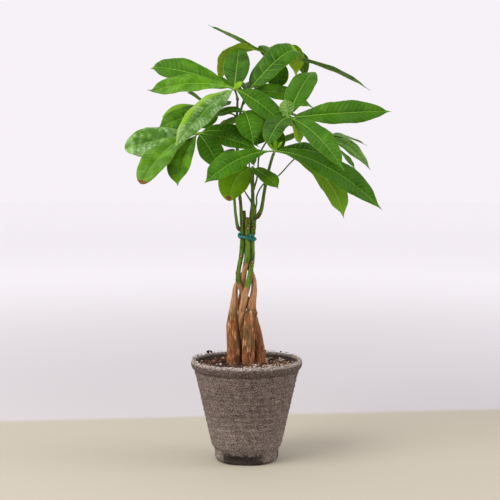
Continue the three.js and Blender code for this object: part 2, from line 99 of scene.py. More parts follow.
def addRows(shape, rows, closed=False, flip=False, finish=0):  # rows of point numbers, skinned with quads
    for low, high in zip(rows, rows[1:]):
        count = len(low)
        for i in range(count if closed else count - 1):
            j = (i + 1) % count
            addFace(shape, (low[i], low[j], high[j], high[i]), flip, finish)


def addFan(shape, ring, middle, flip=False, finish=0):
    for i, corner in enumerate(ring):
        addFace(shape, (corner, ring[(i + 1) % len(ring)], middle), flip, finish)


def addRing(shape, radius, z, sides, centre=(0, 0)):  # a level ring of points
    row = []
    for turn in turnsOf(sides):
        x, y = polar(radius, turn)
        row.append(addPoint(shape, (centre[0] + x, centre[1] + y, z)))
    return row


def meshOf(name, shape):
    mesh = bpy.data.meshes.new(name)
    mesh.from_pydata(shape["points"], [], shape["faces"])
    return mesh


def addObject(name, data, at=(0, 0, 0)):
    thing = bpy.data.objects.new(name, data)
    thing.location = at
    bpy.context.scene.collection.objects.link(thing)
    return thing


def makePiece(name, shape, materials, nodes=()):
    mesh = meshOf(name, shape)
    for key, values in shape["marks"].items():
        layer = mesh.attributes.new(key, "FLOAT_VECTOR", "POINT")
        layer.data.foreach_set("vector", [x for value in values for x in value])
    for material in materials:
        mesh.materials.append(material)
    mesh.polygons.foreach_set("material_index", shape["finish"])
    mesh.shade_smooth()
    piece = addObject(name, mesh)
    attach(piece, "root")
    if nodes:
        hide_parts(*nodes)
    return piece


# shader nodes: the values are sockets or plain numbers, and a socket tells which tree it is in
def feed(socket, value):
    if isinstance(value, bpy.types.NodeSocket):
        socket.id_data.links.new(value, socket)
    elif value is not None:
        socket.default_value = value


def treeOf(values):
    return next(value.id_data for value in values if isinstance(value, bpy.types.NodeSocket))


def put(tree, kind, inputs=(), **settings):
    node = tree.nodes.new("ShaderNode" + kind)
    for name, value in settings.items():
        setattr(node, name, value)
    for name, value in dict(inputs).items():
        feed(node.inputs[name], value)
    return node


def maths(operation, *values):
    return put(treeOf(values), "Math", enumerate(values), operation=operation).outputs[0]


def times(first, *others):
    for value in others:
        first = maths("MULTIPLY", first, value)
    return first


def plus(first, *others):
    for value in others:
        first = maths("ADD", first, value)
    return first


def minus(first, second):
    return maths("SUBTRACT", first, second)


def around(value, share):  # moves a 0 to 1 value to lie about 0, and scales it
    return times(minus(value, 0.5), share)


def rangeOf(value, low, high, start=0.0, end=1.0):  # eases from start, at low, to end, at high
    inputs = {"Value": value, "From Min": low, "From Max": high, "To Min": start, "To Max": end}
    return put(value.id_data, "MapRange", inputs, interpolation_type="SMOOTHSTEP").outputs["Result"]


def mixed(share, a, b):
    node = put(treeOf((share, a, b)), "Mix", data_type="RGBA")
    for number, value in ((0, share), (6, a), (7, b)):  # the places of a colour mix's own sockets
        feed(node.inputs[number], value)
    return node.outputs[2]


def layered(ground, *layers):  # lays each colour over the last by its share
    for share, paint in layers:
        ground = mixed(share, ground, paint)
    return ground


def noiseOf(vector, scale, detail=3.0, roughness=0.6, distortion=0.0):
    inputs = {"Vector": vector, "Scale": scale, "Detail": detail, "Roughness": roughness}
    inputs["Distortion"] = distortion
    return put(vector.id_data, "TexNoise", inputs).outputs["Fac"]


def stretched(vector, scale, turn=(0, 0, 0)):
    inputs = {"Vector": vector, "Rotation": turn, "Scale": scale}
    return put(vector.id_data, "Mapping", inputs).outputs["Vector"]


def whereOf(tree):
    return put(tree, "TexCoord").outputs["Object"]


def partsOf(vector):
    return put(vector.id_data, "SeparateXYZ", {0: vector}).outputs


def markOf(tree, name):
    return partsOf(put(tree, "Attribute", attribute_name=name).outputs["Vector"])


def bumped(height, distance, strength=1.0):
    inputs = {"Height": height, "Distance": distance, "Strength": strength}
    return put(height.id_data, "Bump", inputs).outputs["Normal"]


def linear(value):
    value /= 255
    return value / 12.92 if value <= 0.04045 else ((value + 0.055) / 1.055) ** 2.4


def colour(*screen):  # a screen colour, 0 to 255, as the linear colour that shaders use
    return (*map(linear, screen), 1.0)


def coloursOf(**screen):
    return {name: colour(*value) for name, value in screen.items()}


def newGroup(name, inputs, outputs):
    tree = bpy.data.node_groups.new(name, "ShaderNodeTree")
    for label, value in inputs.items():
        kind = "Vector" if value is None else "Float"
        socket = tree.interface.new_socket(label, in_out="INPUT", socket_type="NodeSocket" + kind)
        if value is not None:
            socket.default_value = value
    for label in outputs:
        tree.interface.new_socket(label, in_out="OUTPUT", socket_type="NodeSocketFloat")
    return tree, tree.nodes.new("NodeGroupInput").outputs, tree.nodes.new("NodeGroupOutput").inputs


def useGroup(group, **inputs):
    return put(treeOf(inputs.values()), "Group", inputs, node_tree=group).outputs


def shaded(name, build):  # build(tree) gives the shader's inputs
    material = bpy.data.materials.new(name)
    material.use_nodes = True
    tree = material.node_tree
    shader = tree.nodes["Principled BSDF"]
    for socket, value in build(tree).items():
        feed(shader.inputs[socket], value)
    return material


# bright and dark flecks, with slower mottling: for fibre and soil
def makeFleckGroup():
    inputs = {"Vector": None, "Size": 0.001, "Spread": 0.5}
    tree, given, out = newGroup("flecks", inputs, ("Pits", "Fibres", "Mottle"))
    scale = maths("DIVIDE", 1.0, given["Size"])
    speck = noiseOf(given["Vector"], scale, 2.0)
    threshold = minus(0.62, times(given["Spread"], 0.2))
    feed(out["Pits"], rangeOf(speck, threshold, plus(threshold, 0.09)))
    strands = None
    for turn in ((0.4, 0.2, 0.1), (1.3, 0.7, 0.9), (0.2, 1.4, 2.2)):
        threads = stretched(given["Vector"], (1.0, 0.22, 1.0), turn)
        strand = rangeOf(noiseOf(threads, times(scale, 1.3), 1.0, 0.5), 0.6, 0.7)
        strands = strand if strands is None else maths("MAXIMUM", strands, strand)
    feed(out["Fibres"], strands)
    feed(out["Mottle"], noiseOf(given["Vector"], times(scale, 0.16), 4.0))
    return tree


# fibres that run lengthwise round a limb, from its place mark: a turn from 0 to 1, and metres along
def makeLengthGroup():
    inputs = {"Turn": 0.0, "Along": 0.0, "Seed": 0.0}
    tree, given, out = newGroup("lengthwiseGrain", inputs, ("Grain", "Cracks", "Patches"))
    angle = times(given["Turn"], 2 * math.pi)
    along = plus(times(given["Along"], 24.0), times(given["Seed"], 37.0))
    parts = {0: maths("COSINE", angle), 1: maths("SINE", angle), 2: along}
    wrapped = put(tree, "CombineXYZ", parts).outputs[0]
    feed(out["Grain"], noiseOf(wrapped, 4.6, 5.0, 0.68, 0.3))
    cracks = noiseOf(stretched(wrapped, (1.0, 1.0, 0.45)), 7.0, 3.0, 0.7, 0.6)
    feed(out["Cracks"], rangeOf(cracks, 0.37, 0.44, 1.0, 0.0))
    feed(out["Patches"], noiseOf(stretched(wrapped, (1.0, 1.0, 1.8)), 1.6, 4.0, 0.62, 0.4))
    return tree


flecks = makeFleckGroup()
lengthwiseGrain = makeLengthGroup()
print("shared effects made")


# moulded fibre: short strands, pits and mottling, streaked round the wall
fibreLook = coloursOf(
    mid=(150, 132, 122), dark=(116, 99, 90), pit=(40, 30, 26), strand=(198, 183, 172),
    # collar paints shade on the collar face under the lip; lip paints the lip top pale, partly frayed fibre
    # and partly painted light
    collar=(86, 70, 62), lip=(212, 198, 188), damp=(42, 31, 26),
# the last colour above paints shade in the notches and on the inner wall, and a darker foot
)
fibreGrain = {
    "coarse": 0.0012, "fine": 0.0007,  # metres from fleck to fleck
    "streaks": 240, "paleBelow": 0.075,  # how fine the streaks are, and from where down the wall is painted paler, as lit by light bounced from the floor
}


def fibreInputs(tree):
    look, where = fibreLook, whereOf(tree)
    collar, lip, damp = markOf(tree, "tint")
    coarse = useGroup(flecks, Vector=where, Size=fibreGrain["coarse"], Spread=0.7)
    fine = useGroup(flecks, Vector=where, Size=fibreGrain["fine"], Spread=0.55)
    streak = noiseOf(stretched(where, (0.2, 0.2, 2.0)), fibreGrain["streaks"])
    # painted light: the wall paler towards the bottom, as lit from the floor
    low = rangeOf(partsOf(where)["Z"], fibreGrain["paleBelow"], 0.02, 0.0, 0.3)
    ragged = rangeOf(noiseOf(where, 260), 0.28, 0.5)
    ground = layered(
        mixed(rangeOf(coarse["Mottle"], 0.34, 0.66), look["dark"], look["mid"]),
        (rangeOf(streak, 0.45, 0.33, 0.0, 0.7), look["pit"]),
        # painted light bounced from the floor on the lower wall
        (low, look["strand"]),
        # painted shade on the collar face under the lip, and the lip top pale, partly painted light
        (times(collar, 0.75), look["collar"]),
        (times(lip, ragged), look["lip"]),
        (times(fine["Fibres"], 0.45), look["strand"]),
        (times(coarse["Fibres"], 0.55), look["strand"]),
        # painted shade in the notches and on the inner wall, and darker towards the bottom
        (times(damp, 0.88), look["damp"]),
        (times(fine["Pits"], 0.6), look["pit"]),
        (times(coarse["Pits"], 0.75), look["pit"]),
    )
    relief = minus(plus(coarse["Fibres"], times(coarse["Mottle"], 1.5)), coarse["Pits"])
    relief = plus(relief, times(fine["Fibres"], 0.4), times(streak, 2.0))
    normal = bumped(relief, 0.0005, 0.9)
    return {"Base Color": ground, "Roughness": 0.95, "Specular IOR Level": 0.25, "Normal": normal}


# the potting mix and its loose bits
mixLook = coloursOf(
    soil=(54, 37, 28), loam=(88, 62, 45), dust=(116, 88, 66), pit=(20, 13, 10), paleDust=(178, 152, 128),
    shade=(24, 17, 13), darkChip=(60, 36, 24), paleChip=(150, 98, 62), chipGrain=(40, 24, 16),
    dirtyPerlite=(172, 150, 124), perlite=(232, 222, 206), perlitePit=(150, 130, 108),
)


def soilInputs(tree):
    look = mixLook
    shade, dusty = markOf(tree, "tint")[0:2]
    speck = useGroup(flecks, Vector=whereOf(tree), Size=0.0015, Spread=0.8)
    ground = layered(
        mixed(rangeOf(speck["Mottle"], 0.36, 0.62), look["soil"], look["loam"]),
        (times(speck["Fibres"], 0.6), look["dust"]),
        (times(speck["Pits"], 0.8), look["pit"]),
        (times(dusty, rangeOf(speck["Mottle"], 0.3, 0.6)), look["paleDust"]),
        (shade, look["shade"]),
    )
    normal = bumped(speck["Mottle"], 0.0015)
    return {"Base Color": ground, "Roughness": 1.0, "Specular IOR Level": 0.2, "Normal": normal}


def chipInputs(tree):
    grain = noiseOf(stretched(whereOf(tree), (1.0, 0.25, 1.0), (0.3, 0.2, 0.6)), 1500)
    ground = mixed(markOf(tree, "tint")[0], mixLook["darkChip"], mixLook["paleChip"])
    ground = mixed(rangeOf(grain, 0.35, 0.65), mixed(0.6, ground, mixLook["chipGrain"]), ground)
    return {"Base Color": ground, "Roughness": 0.85, "Normal": bumped(grain, 0.0004)}


def perliteInputs(tree):
    grain = noiseOf(whereOf(tree), 1800, 3.0, 0.7)
    ground = mixed(markOf(tree, "tint")[0], mixLook["dirtyPerlite"], mixLook["perlite"])
    ground = mixed(rangeOf(grain, 0.58, 0.68), ground, mixLook["perlitePit"])
    return {"Base Color": ground, "Roughness": 0.8, "Normal": bumped(grain, 0.0004)}


# the stems: flaking bark below, green skin with leaf scars above
barkLook = coloursOf(
    brown=(152, 98, 62), deep=(92, 57, 34), pale=(212, 156, 110), crack=(38, 22, 14), olive=(104, 84, 52),
    moss=(184, 142, 104), green=(100, 130, 38), greenDeep=(42, 72, 12), lenticel=(184, 180, 120),
    scar=(74, 46, 18), wound=(178, 156, 102), cut=(104, 80, 48),
)


def barkGround(where, grain, moss, knot):
    look = barkLook
    flaked = times(rangeOf(grain["Patches"], 0.5, 0.66), rangeOf(grain["Grain"], 0.35, 0.55))
    return layered(
        mixed(rangeOf(grain["Grain"], 0.32, 0.6), look["deep"], look["brown"]),
        (rangeOf(noiseOf(where, 70), 0.5, 0.66, 0.0, 0.5), look["deep"]),
        (rangeOf(noiseOf(where, 34, 2.0, 0.5), 0.5, 0.62, 0.0, 0.7), look["olive"]),
        (flaked, look["pale"]),
        (times(moss, rangeOf(grain["Patches"], 0.62, 0.42)), look["moss"]),
        (times(grain["Cracks"], rangeOf(moss, 0.0, 0.8, 0.9, 0.5)), look["crack"]),
        # painted shade: a dark line in the groove over each swollen ring
        (times(knot, rangeOf(grain["Grain"], 0.3, 0.6, 0.9, 0.3)), look["crack"]),
    )


def greenGround(where, grain, scar):
    look = barkLook
    dots = rangeOf(noiseOf(stretched(where, (1.0, 1.0, 0.6)), 620, 1.0, 0.5), 0.7, 0.76)
    ragged = plus(scar, around(noiseOf(where, 800, 2.0), 1.6))
    spotty = mixed(rangeOf(scar, 0.7, 0.85, 0.0, 0.85), look["scar"], look["wound"])
    return layered(
        mixed(rangeOf(grain["Patches"], 0.35, 0.62), look["greenDeep"], look["green"]),
        (times(grain["Cracks"], 0.2), look["greenDeep"]),
        (times(dots, 0.6), look["lenticel"]),
        (rangeOf(ragged, 0.3, 0.5), spotty),
    )


def lengthwise(tree, seed):
    turn, along = markOf(tree, "place")[0:2]
    return useGroup(lengthwiseGrain, Turn=turn, Along=along, Seed=seed)


def stemInputs(tree):
    where = whereOf(tree)
    green, scar, seed = markOf(tree, "grain")
    moss, knot, cut = markOf(tree, "tint")
    grain = lengthwise(tree, seed)
    edge = plus(green, around(grain["Patches"], 0.9))
    bark, skin = barkGround(where, grain, moss, knot), greenGround(where, grain, scar)
    ground = mixed(rangeOf(edge, 0.35, 0.65), bark, skin)
    ground = mixed(times(cut, rangeOf(grain["Grain"], 0.3, 0.5)), ground, barkLook["cut"])
    relief = minus(grain["Grain"], times(grain["Cracks"], 0.7))
    relief = times(relief, minus(1.0, times(green, 0.8)))
    return {
        "Base Color": ground, "Roughness": minus(0.9, times(green, 0.45)), "Specular IOR Level": 0.14,
        "Normal": bumped(relief, 0.0008, 0.9),
    }


# the leaves
leafLook = coloursOf(
    deep=(16, 40, 0), mid=(46, 92, 0), bright=(98, 152, 4), gold=(138, 176, 8), under=(100, 140, 42),
    # the last colour on the next line paints a pale sheen on glossy blades, and glow, below it, paints light
    # shining through yellow blades from behind
    rib=(132, 172, 66), vein=(84, 138, 20), brown=(104, 74, 34), bloom=(158, 188, 134),
    youngRib=(148, 178, 76), glow=(172, 206, 54),
)
stalkLook = coloursOf(deep=(56, 90, 16), green=(92, 130, 36), hub=(140, 168, 70))


# the veins of one blade, from its marks: how far across, rib widths off the midrib, and veins so far
def makeVeinGroup():
    inputs = {"Across": 0.0, "Off": 0.0, "Phase": 0.0, "Where": None}
    tree, given, out = newGroup("leafVeins", inputs, ("Rib", "Veins", "Net", "Cell", "Lit"))
    side, where = maths("ABSOLUTE", given["Across"]), given["Where"]
    phase = plus(given["Phase"], around(noiseOf(where, 90, 3.0, 0.55), 0.7))
    near, part = maths("PINGPONG", phase, 0.5), maths("FRACT", phase)
    # lit: the part of each cell between veins painted as catching the light; the rest takes painted shade
    lit = times(rangeOf(part, 0.06, 0.3), rangeOf(part, 0.34, 0.8, 1.0, 0.0), rangeOf(side, 0.04, 0.25))
    cells = put(tree, "TexVoronoi", {"Vector": where, "Scale": 420}, feature="DISTANCE_TO_EDGE")
    feed(out["Rib"], rangeOf(given["Off"], 0.55, 1.2, 1.0, 0.0))
    feed(out["Veins"], times(rangeOf(near, 0.03, 0.1, 1.0, 0.0), rangeOf(side, 0.55, 1.0, 1.0, 0.25)))
    feed(out["Net"], rangeOf(cells.outputs["Distance"], 0.02, 0.16, 1.0, 0.0))
    feed(out["Cell"], rangeOf(near, 0.0, 0.5))
    feed(out["Lit"], lit)
    return tree


leafVeins = makeVeinGroup()


def sheenOf(where, lit, fine, patchy, gloss):  # painted sheen: a pale reflection painted on the lit parts of a glossy blade
    glint = times(lit, rangeOf(fine, 0.3, 0.6))
    broad = plus(patchy, rangeOf(noiseOf(where, 38, 2.0), 0.4, 0.6))
    return times(plus(times(glint, 0.32), 0.3), times(gloss, gloss), rangeOf(broad, 0.2, 1.6, 0.15, 1.0))


def leafInputs(tree):
    look, where = leafLook, whereOf(tree)
    bands, across, off = markOf(tree, "place")
    phase, gloss, under = markOf(tree, "grain")
    shade, gold, brown = markOf(tree, "tint")
    vein = useGroup(leafVeins, Across=across, Off=off, Phase=phase, Where=where)
    fine = noiseOf(where, 420)
    patchy = rangeOf(noiseOf(where, 110, 2.0), 0.42, 0.58)
    tone = plus(shade, around(noiseOf(where, 55), 1.0))
    dry = plus(brown, around(fine, 0.5))
    upper = layered(
        mixed(rangeOf(tone, 0.0, 0.5), look["deep"], look["mid"]),
        (rangeOf(tone, 0.5, 1.0), look["bright"]),
        (gold, look["gold"]),
        (times(vein["Net"], 0.14), look["vein"]),
        # painted shade: the unlit part of each cell between veins darkened
        (times(minus(1.0, vein["Lit"]), times(bands, patchy), 0.75), look["deep"]),
        # painted sheen: a pale reflection over the lit parts of glossy blades
        (sheenOf(where, vein["Lit"], fine, patchy, gloss), look["bloom"]),
        # painted highlight: a thin pale line along the edge of each blade
        (rangeOf(maths("ABSOLUTE", across), 0.95, 1.0, 0.0, 0.4), look["gold"]),
        (times(vein["Veins"], 0.55), look["vein"]),
        (times(vein["Rib"], 0.75), look["rib"]),
    )
    # the underside takes the pale under colour, and on yellow blades painted light shining through makes it
    # glow
    lower = mixed(gold, mixed(0.45, upper, look["under"]), look["glow"])
    lower = mixed(times(vein["Rib"], 0.8), lower, look["youngRib"])
    ground = layered(
        mixed(under, upper, lower),
        (rangeOf(dry, 0.3, 0.5, 0.0, 0.6), look["gold"]),
        (rangeOf(dry, 0.45, 0.65), look["brown"]),
    )
    relief = plus(minus(times(vein["Cell"], 0.5), times(vein["Net"], 0.16)), times(fine, 0.2))
    rough = plus(times(fine, 0.16), times(under, 0.2), rangeOf(gloss, 0.0, 1.0, 0.38, 0.24))
    return {
        "Base Color": ground, "Roughness": rough, "Specular IOR Level": 0.1,
        "Specular Tint": (0.9, 1.0, 0.7, 1.0), "Subsurface Weight": 0.08,
        "Subsurface Radius": (0.8, 1.0, 0.1), "Subsurface Scale": 0.0012,
        "Normal": bumped(relief, 0.0006, 0.9),
    }


def stalkInputs(tree):
    green, scar, seed = markOf(tree, "grain")
    grain = lengthwise(tree, seed)
    ground = layered(
        mixed(rangeOf(grain["Patches"], 0.35, 0.62), stalkLook["deep"], stalkLook["green"]),
        (scar, stalkLook["hub"]),
        (minus(1.0, green), barkLook["scar"]),
    )
    normal = bumped(grain["Grain"], 0.0002, 0.6)
    return {"Base Color": ground, "Roughness": 0.55, "Specular IOR Level": 0.3, "Normal": normal}


tieLook = coloursOf(teal=(0, 82, 76), worn=(16, 128, 116))


def tieInputs(tree):
    scuff = noiseOf(whereOf(tree), 900)
    return {
        "Base Color": mixed(rangeOf(scuff, 0.35, 0.7), tieLook["teal"], tieLook["worn"]),
        "Roughness": rangeOf(scuff, 0.3, 0.7, 0.25, 0.45), "Specular IOR Level": 0.35,
        "Normal": bumped(scuff, 0.0002, 0.5),
    }


mouldedFibre = shaded("mouldedFibre", fibreInputs)
pottingMix = shaded("pottingMix", soilInputs)
barkChip = shaded("barkChip", chipInputs)
perlite = shaded("perlite", perliteInputs)
stemSkin = shaded("stemSkin", stemInputs)
leafBlade = shaded("leafBlade", leafInputs)
leafStalk = shaded("leafStalk", stalkInputs)
plantTie = shaded("plantTie", tieInputs)
print("finishes made")


# limbs: a smooth route through its stations (x, y, z and radius), and a tube along it
def routeAt(points, s):
    last = len(points) - 1
    i = min(last - 1, int(s))
    w = s - i
    one, two = points[i], points[i + 1]
    before = points[i - 1] if i > 0 else one * 2 - two
    after = points[i + 2] if i + 2 <= last else two * 2 - one
    d0, d1, d2 = [math.sqrt((b - a).length) for a, b in ((before, one), (one, two), (two, after))]
    leave = ((one - before) / d0 - (two - before) / (d0 + d1) + (two - one) / d1) * d1
    arrive = ((two - one) / d1 - (after - one) / (d1 + d2) + (after - two) / d2) * d1
    curve = -3 * one + 3 * two - 2 * leave - arrive
    twist = 2 * one - 2 * two + leave + arrive
    point = one + leave * w + curve * w * w + twist * w ** 3
    return point, (leave + curve * 2 * w + twist * 3 * w * w).normalized()


def radiusAt(stations, s):  # eased between the stations
    last = len(stations) - 1
    total = 0
    for shift in (-0.4, 0, 0.4):
        x = clamp(s + shift, 0, last)
        i = min(last - 1, int(x))
        total += blendOf(stations[i][3], stations[i + 1][3], x - i)
    return total / 3


def ringsOf(stations, perSpan):
    points = [Vector(station[:3]) for station in stations]
    rings, normal, length, previous = [], Vector((1, 0, 0)), 0, None
    for k in range((len(stations) - 1) * perSpan + 1):
        s = k / perSpan
        point, tangent = routeAt(points, s)
        normal = (normal - tangent * normal.dot(tangent)).normalized()
        length += (point - previous).length if previous else 0
        previous = point
        rings.append({
            "point": point, "tangent": tangent, "normal": normal, "binormal": tangent.cross(normal),
            "radius": radiusAt(stations, s), "length": length, "s": s,
        })
    return rings


def plainSkin(ring, angle):
    return 0


def plainMarks(ring, angle):
    return (1, 0, 0), (0, 0, 0)


# relief(ring, angle) gives millimetres out from the radius, and marks(ring, angle) the grain and tint marks;
# ends says how far each end bulges
def addLimb(shape, stations, perSpan, sides, relief=plainSkin, marks=plainMarks,
            flatten=1.0, finish=0, ends=(0.5, 0.5)):
    rings = ringsOf(stations, perSpan)
    rows = []
    for ring in rings:
        row = []
        for side, angle in enumerate(turnsOf(sides)):
            out = ring["radius"] + relief(ring, angle)
            point = ring["point"] + ring["normal"] * (math.cos(angle) * out * flatten)
            point += ring["binormal"] * (math.sin(angle) * out)
            place = (side / sides, ring["length"] * mm, out)
            row.append(addPoint(shape, point, place, *marks(ring, angle)))
        rows.append(row)
    addRows(shape, rows, closed=True, finish=finish)
    for ring, row, sign, bulge in ((rings[0], rows[0], -1, ends[0]), (rings[-1], rows[-1], 1, ends[1])):
        middle = ring["point"] + ring["tangent"] * (sign * bulge * ring["radius"])
        place = (0, ring["length"] * mm, ring["radius"])
        top = addPoint(shape, middle, place, *marks(ring, 0))
        addFan(shape, row, top, flip=sign < 0, finish=finish)


# the moulded fibre pot
pot = {
    "height": 120, "collar": 12, "shoulderHeight": 19, "innerFoot": 12, "wall": 3, "floor": 4,
    "rimRadius": 64.9, "mouthRadius": 60.8, "shoulderRadius": 41.3,  # collar, wall under it, stacking step
    "footRadius": 37.8, "baseRadius": 34, "floorRadius": 24,  # below the step, under the foot, inside
    "notches": 3, "notchTurn": -98, "notchWide": 38, "notchTall": 11, "notchDeep": 5,
    "holes": 3, "holeRadius": 4, "holeRing": 18, "holeSides": 24,  # the ring is how far out they are
    "strands": 420, "fringe": 100,  # loose fibres on the wall and along the lip
    "sides": 288, "step": 1.4,  # points round the pot, and mm between its rings
}


def potProfile():  # the wall's outline, from the middle of the base up, over the lip and down inside
    height, rim, mouth, wall = pot["height"], pot["rimRadius"], pot["mouthRadius"], pot["wall"]
    shoulder, shoulderHeight, foot = pot["shoulderRadius"], pot["shoulderHeight"], pot["footRadius"]
    under = height - pot["collar"] - 1.5
    corners = [
        (0, 0), (pot["baseRadius"], 0), (foot - 0.8, 3), (foot, shoulderHeight - 4),
        (shoulder - 0.6, shoulderHeight - 1), (shoulder, shoulderHeight + 1),
        (mouth, under), (rim - 1.6, under + 2.5), (rim, under + 6), (rim, height - 3.5),
        (rim - 1, height - 1), (rim - 2.8, height), (rim - 5, height - 1.2), (mouth - wall + 0.6, under + 1),
        (shoulder - wall, shoulderHeight), (foot - 5, pot["innerFoot"]), (pot["floorRadius"], pot["floor"]),
        (0, pot["floor"]),
    ]
    line = []
    for (r0, z0), (r1, z1) in zip(corners, corners[1:]):
        count = max(1, round(math.hypot(r1 - r0, z1 - z0) / pot["step"]))
        line += [(blendOf(r0, r1, i / count), blendOf(z0, z1, i / count)) for i in range(count)]
    line.append(corners[-1])
    for _ in range(2):  # rounds the corners, as pulp does
        threes = zip(line, line[1:], line[2:])
        eased = [tuple((a + 2 * b + c) / 4 for a, b, c in zip(*three)) for three in threes]
        line = [line[0], *eased, line[-1]]
    return line


def pulpRelief(x, y, z, radius):  # how far the rough skin stands out, in mm
    relief = 0.28 * grainAt(x, y, z, 9) + 0.22 * grainAt(x, y, z, 3.6) + 0.18 * grainAt(x + 50, y, z, 1.9)
    ridge = math.sin(z * 0.95 + 2.2 * grainAt(x, y, z * 0.5, 40))
    ridge *= 0.5 + 0.5 * ringGrain(math.atan2(y, x), 30, z, size=22)
    relief += 0.55 * ridge * smooth(22, 30, z) * (1 - smooth(98, 104, z))
    if radius > 58:  # a bead and a groove under the collar
        relief += 0.75 * bump(z, 103.6, 1.3) - 0.5 * bump(z, 106.2, 1.1)
    return relief


def wallAt(z):  # the radius of the outer wall
    under = pot["height"] - pot["collar"]
    if z > under:
        return blendOf(pot["mouthRadius"], pot["rimRadius"], smooth(under, under + 4, z))
    share = (z - pot["shoulderHeight"]) / (under - pot["shoulderHeight"])
    return blendOf(pot["shoulderRadius"], pot["mouthRadius"], share)


def evenTurns(count, shift=0):  # even steps round the foot, from the notch that shows
    return [math.radians(pot["notchTurn"] + 360 / count * (i + shift)) for i in range(count)]


def fromNotch(x, y, turn):  # how far out, and how far across, from the middle of a notch
    return x * math.cos(turn) + y * math.sin(turn), y * math.cos(turn) - x * math.sin(turn)


def dampAt(x, y, z):  # painted shade in and round each drain notch
    stain = 0
    for turn in evenTurns(pot["notches"]):
        out, across = fromNotch(x, y, turn)
        if out > pot["footRadius"] / 2:
            ragged = 0.35 * grainAt(x, y, z, 5) + 0.2 * grainAt(x, y, z, 2)
            wide = smooth(1.4, 1.1, abs(across) / (pot["notchWide"] / 2) + ragged)
            stain = max(stain, wide * smooth(1.35, 0.85, z / pot["notchTall"] + ragged))
    return stain


def notchedIn(x, y, z):  # the low drain notches round the foot
    wall, half = pot["footRadius"] - pot["notchDeep"], pot["notchWide"] / 2
    for turn in evenTurns(pot["notches"]):
        out, across = fromNotch(x, y, turn)
        if out > wall and abs(across) < half and z < pot["notchTall"]:
            pull = (out - wall) * smooth(half, half - 4, abs(across))
            return x - pull * math.cos(turn), y - pull * math.sin(turn)
    return x, y


def potPoint(shape, radius, z, turn):
    x, y = polar(radius, turn)
    # lip marks the rim top: its ragged shape, and its pale colour, partly painted light where it faces up
    lip = smooth(115, 117.5, z) * smooth(58, 61, radius)
    out = pulpRelief(x, y, z, radius) * smooth(0.6, 3, z)
    out += lip * (0.7 * grainAt(x, y, z, 1.9) + 0.4 * grainAt(x, y, z, 6))
    up = lip * (0.9 * grainAt(x, y + 90, z, 2.1) + 0.6 * grainAt(x, y - 70, z, 7) - 0.3)
    if radius < pot["footRadius"] and pot["floor"] - 1 < z < pot["innerFoot"]:
        out = 0
    dx, dy = polar(out, turn)
    x, y = notchedIn(x + dx, y + dy, z)
    # collar marks the collar face, painted dark as shade under the lip
    collar = smooth(104.8, 106.5, z) * (1 - smooth(114.5, 117.5, z)) * smooth(59.5, 61, radius)
    # painted shade on the inner wall below the rim
    inner = smooth(1.5, 2.4, wallAt(z) - math.hypot(x, y)) * smooth(60, 80, z) * (1 - smooth(115.5, 118, z))
    # painted shade in the notches and on the inner wall, and darker towards the bottom of the foot
    damp = max(dampAt(x, y, z), 0.5 * (1 - smooth(0, 6, z + 3 * grainAt(x, y, z, 8))), 0.8 * inner)
    return addPoint(shape, (x, y, max(0, z + up)), tint=(collar, lip, damp))


def buildPot():
    shape = newShape()
    turns, outline = turnsOf(pot["sides"]), potProfile()[1:-1]
    rows = [[potPoint(shape, radius, z, turn) for turn in turns] for radius, z in outline]
    addRows(shape, rows, closed=True)
    addFan(shape, rows[0], addPoint(shape, (0, 0, 0)), flip=True)
    addFan(shape, rows[-1], addPoint(shape, (0, 0, pot["floor"])))
    drill(makePiece("fibrePot", shape, [mouldedFibre], ["pot"]))


def drill(piece):  # drain holes through the floor, cut and then applied to the mesh
    cutter, low, high = newShape(), -2, pot["floor"] + 3
    for turn in evenTurns(pot["holes"], 0.5):
        x, y = polar(pot["holeRing"], turn)
        rows = [addRing(cutter, pot["holeRadius"], z, pot["holeSides"], (x, y)) for z in (low, high)]
        addRows(cutter, rows, closed=True)
        addFan(cutter, rows[0], addPoint(cutter, (x, y, low)), flip=True)
        addFan(cutter, rows[1], addPoint(cutter, (x, y, high)))
    bits = addObject("drillBits", meshOf("drillBits", cutter))
    cut = piece.modifiers.new("drainHoles", "BOOLEAN")
    cut.operation, cut.object, cut.solver = "DIFFERENCE", bits, "MANIFOLD"
    mesh = bpy.data.meshes.new_from_object(piece.evaluated_get(bpy.context.evaluated_depsgraph_get()))
    piece.modifiers.clear()
    piece.data = mesh
    mesh.shade_smooth()
    bpy.data.objects.remove(bits)


def strandMarks(ring, angle):
    return (0, 0, 0), (0, 1, 0)


def buildStrands():  # loose paper fibres that stand off the wall and fringe the lip
    shape, draw = newShape(), random.Random(7)
    for number in range(pot["strands"] + pot["fringe"]):
        fringe = number >= pot["strands"]
        turn, z = draw.uniform(0, 2 * math.pi), pot["height"] - 0.2 if fringe else draw.uniform(22, 116)
        length, lean = draw.uniform(1.5, 3.5 if fringe else 5), draw.gauss(0, 0.25 if fringe else 0.5)
        bent = draw.gauss(0, 0.1 if fringe else 0.35)
        points = []
        for k in range(4):
            along = length * (k / 3 - 0.5)
            height = z + along * math.sin(lean) + (0.5 if fringe else 0)
            radius = wallAt(height) - (draw.uniform(0.5, 4) if fringe else 0)
            radius += 0.15 + bent * (k - 1.5) ** 2 * 0.2
            points.append((*polar(radius, turn + along * math.cos(lean) / radius), height, 0.14))
        addLimb(shape, points, 2, 5, marks=strandMarks)
    makePiece("pulpFibres", shape, [mouldedFibre])


buildPot()
buildStrands()
print("pot made")


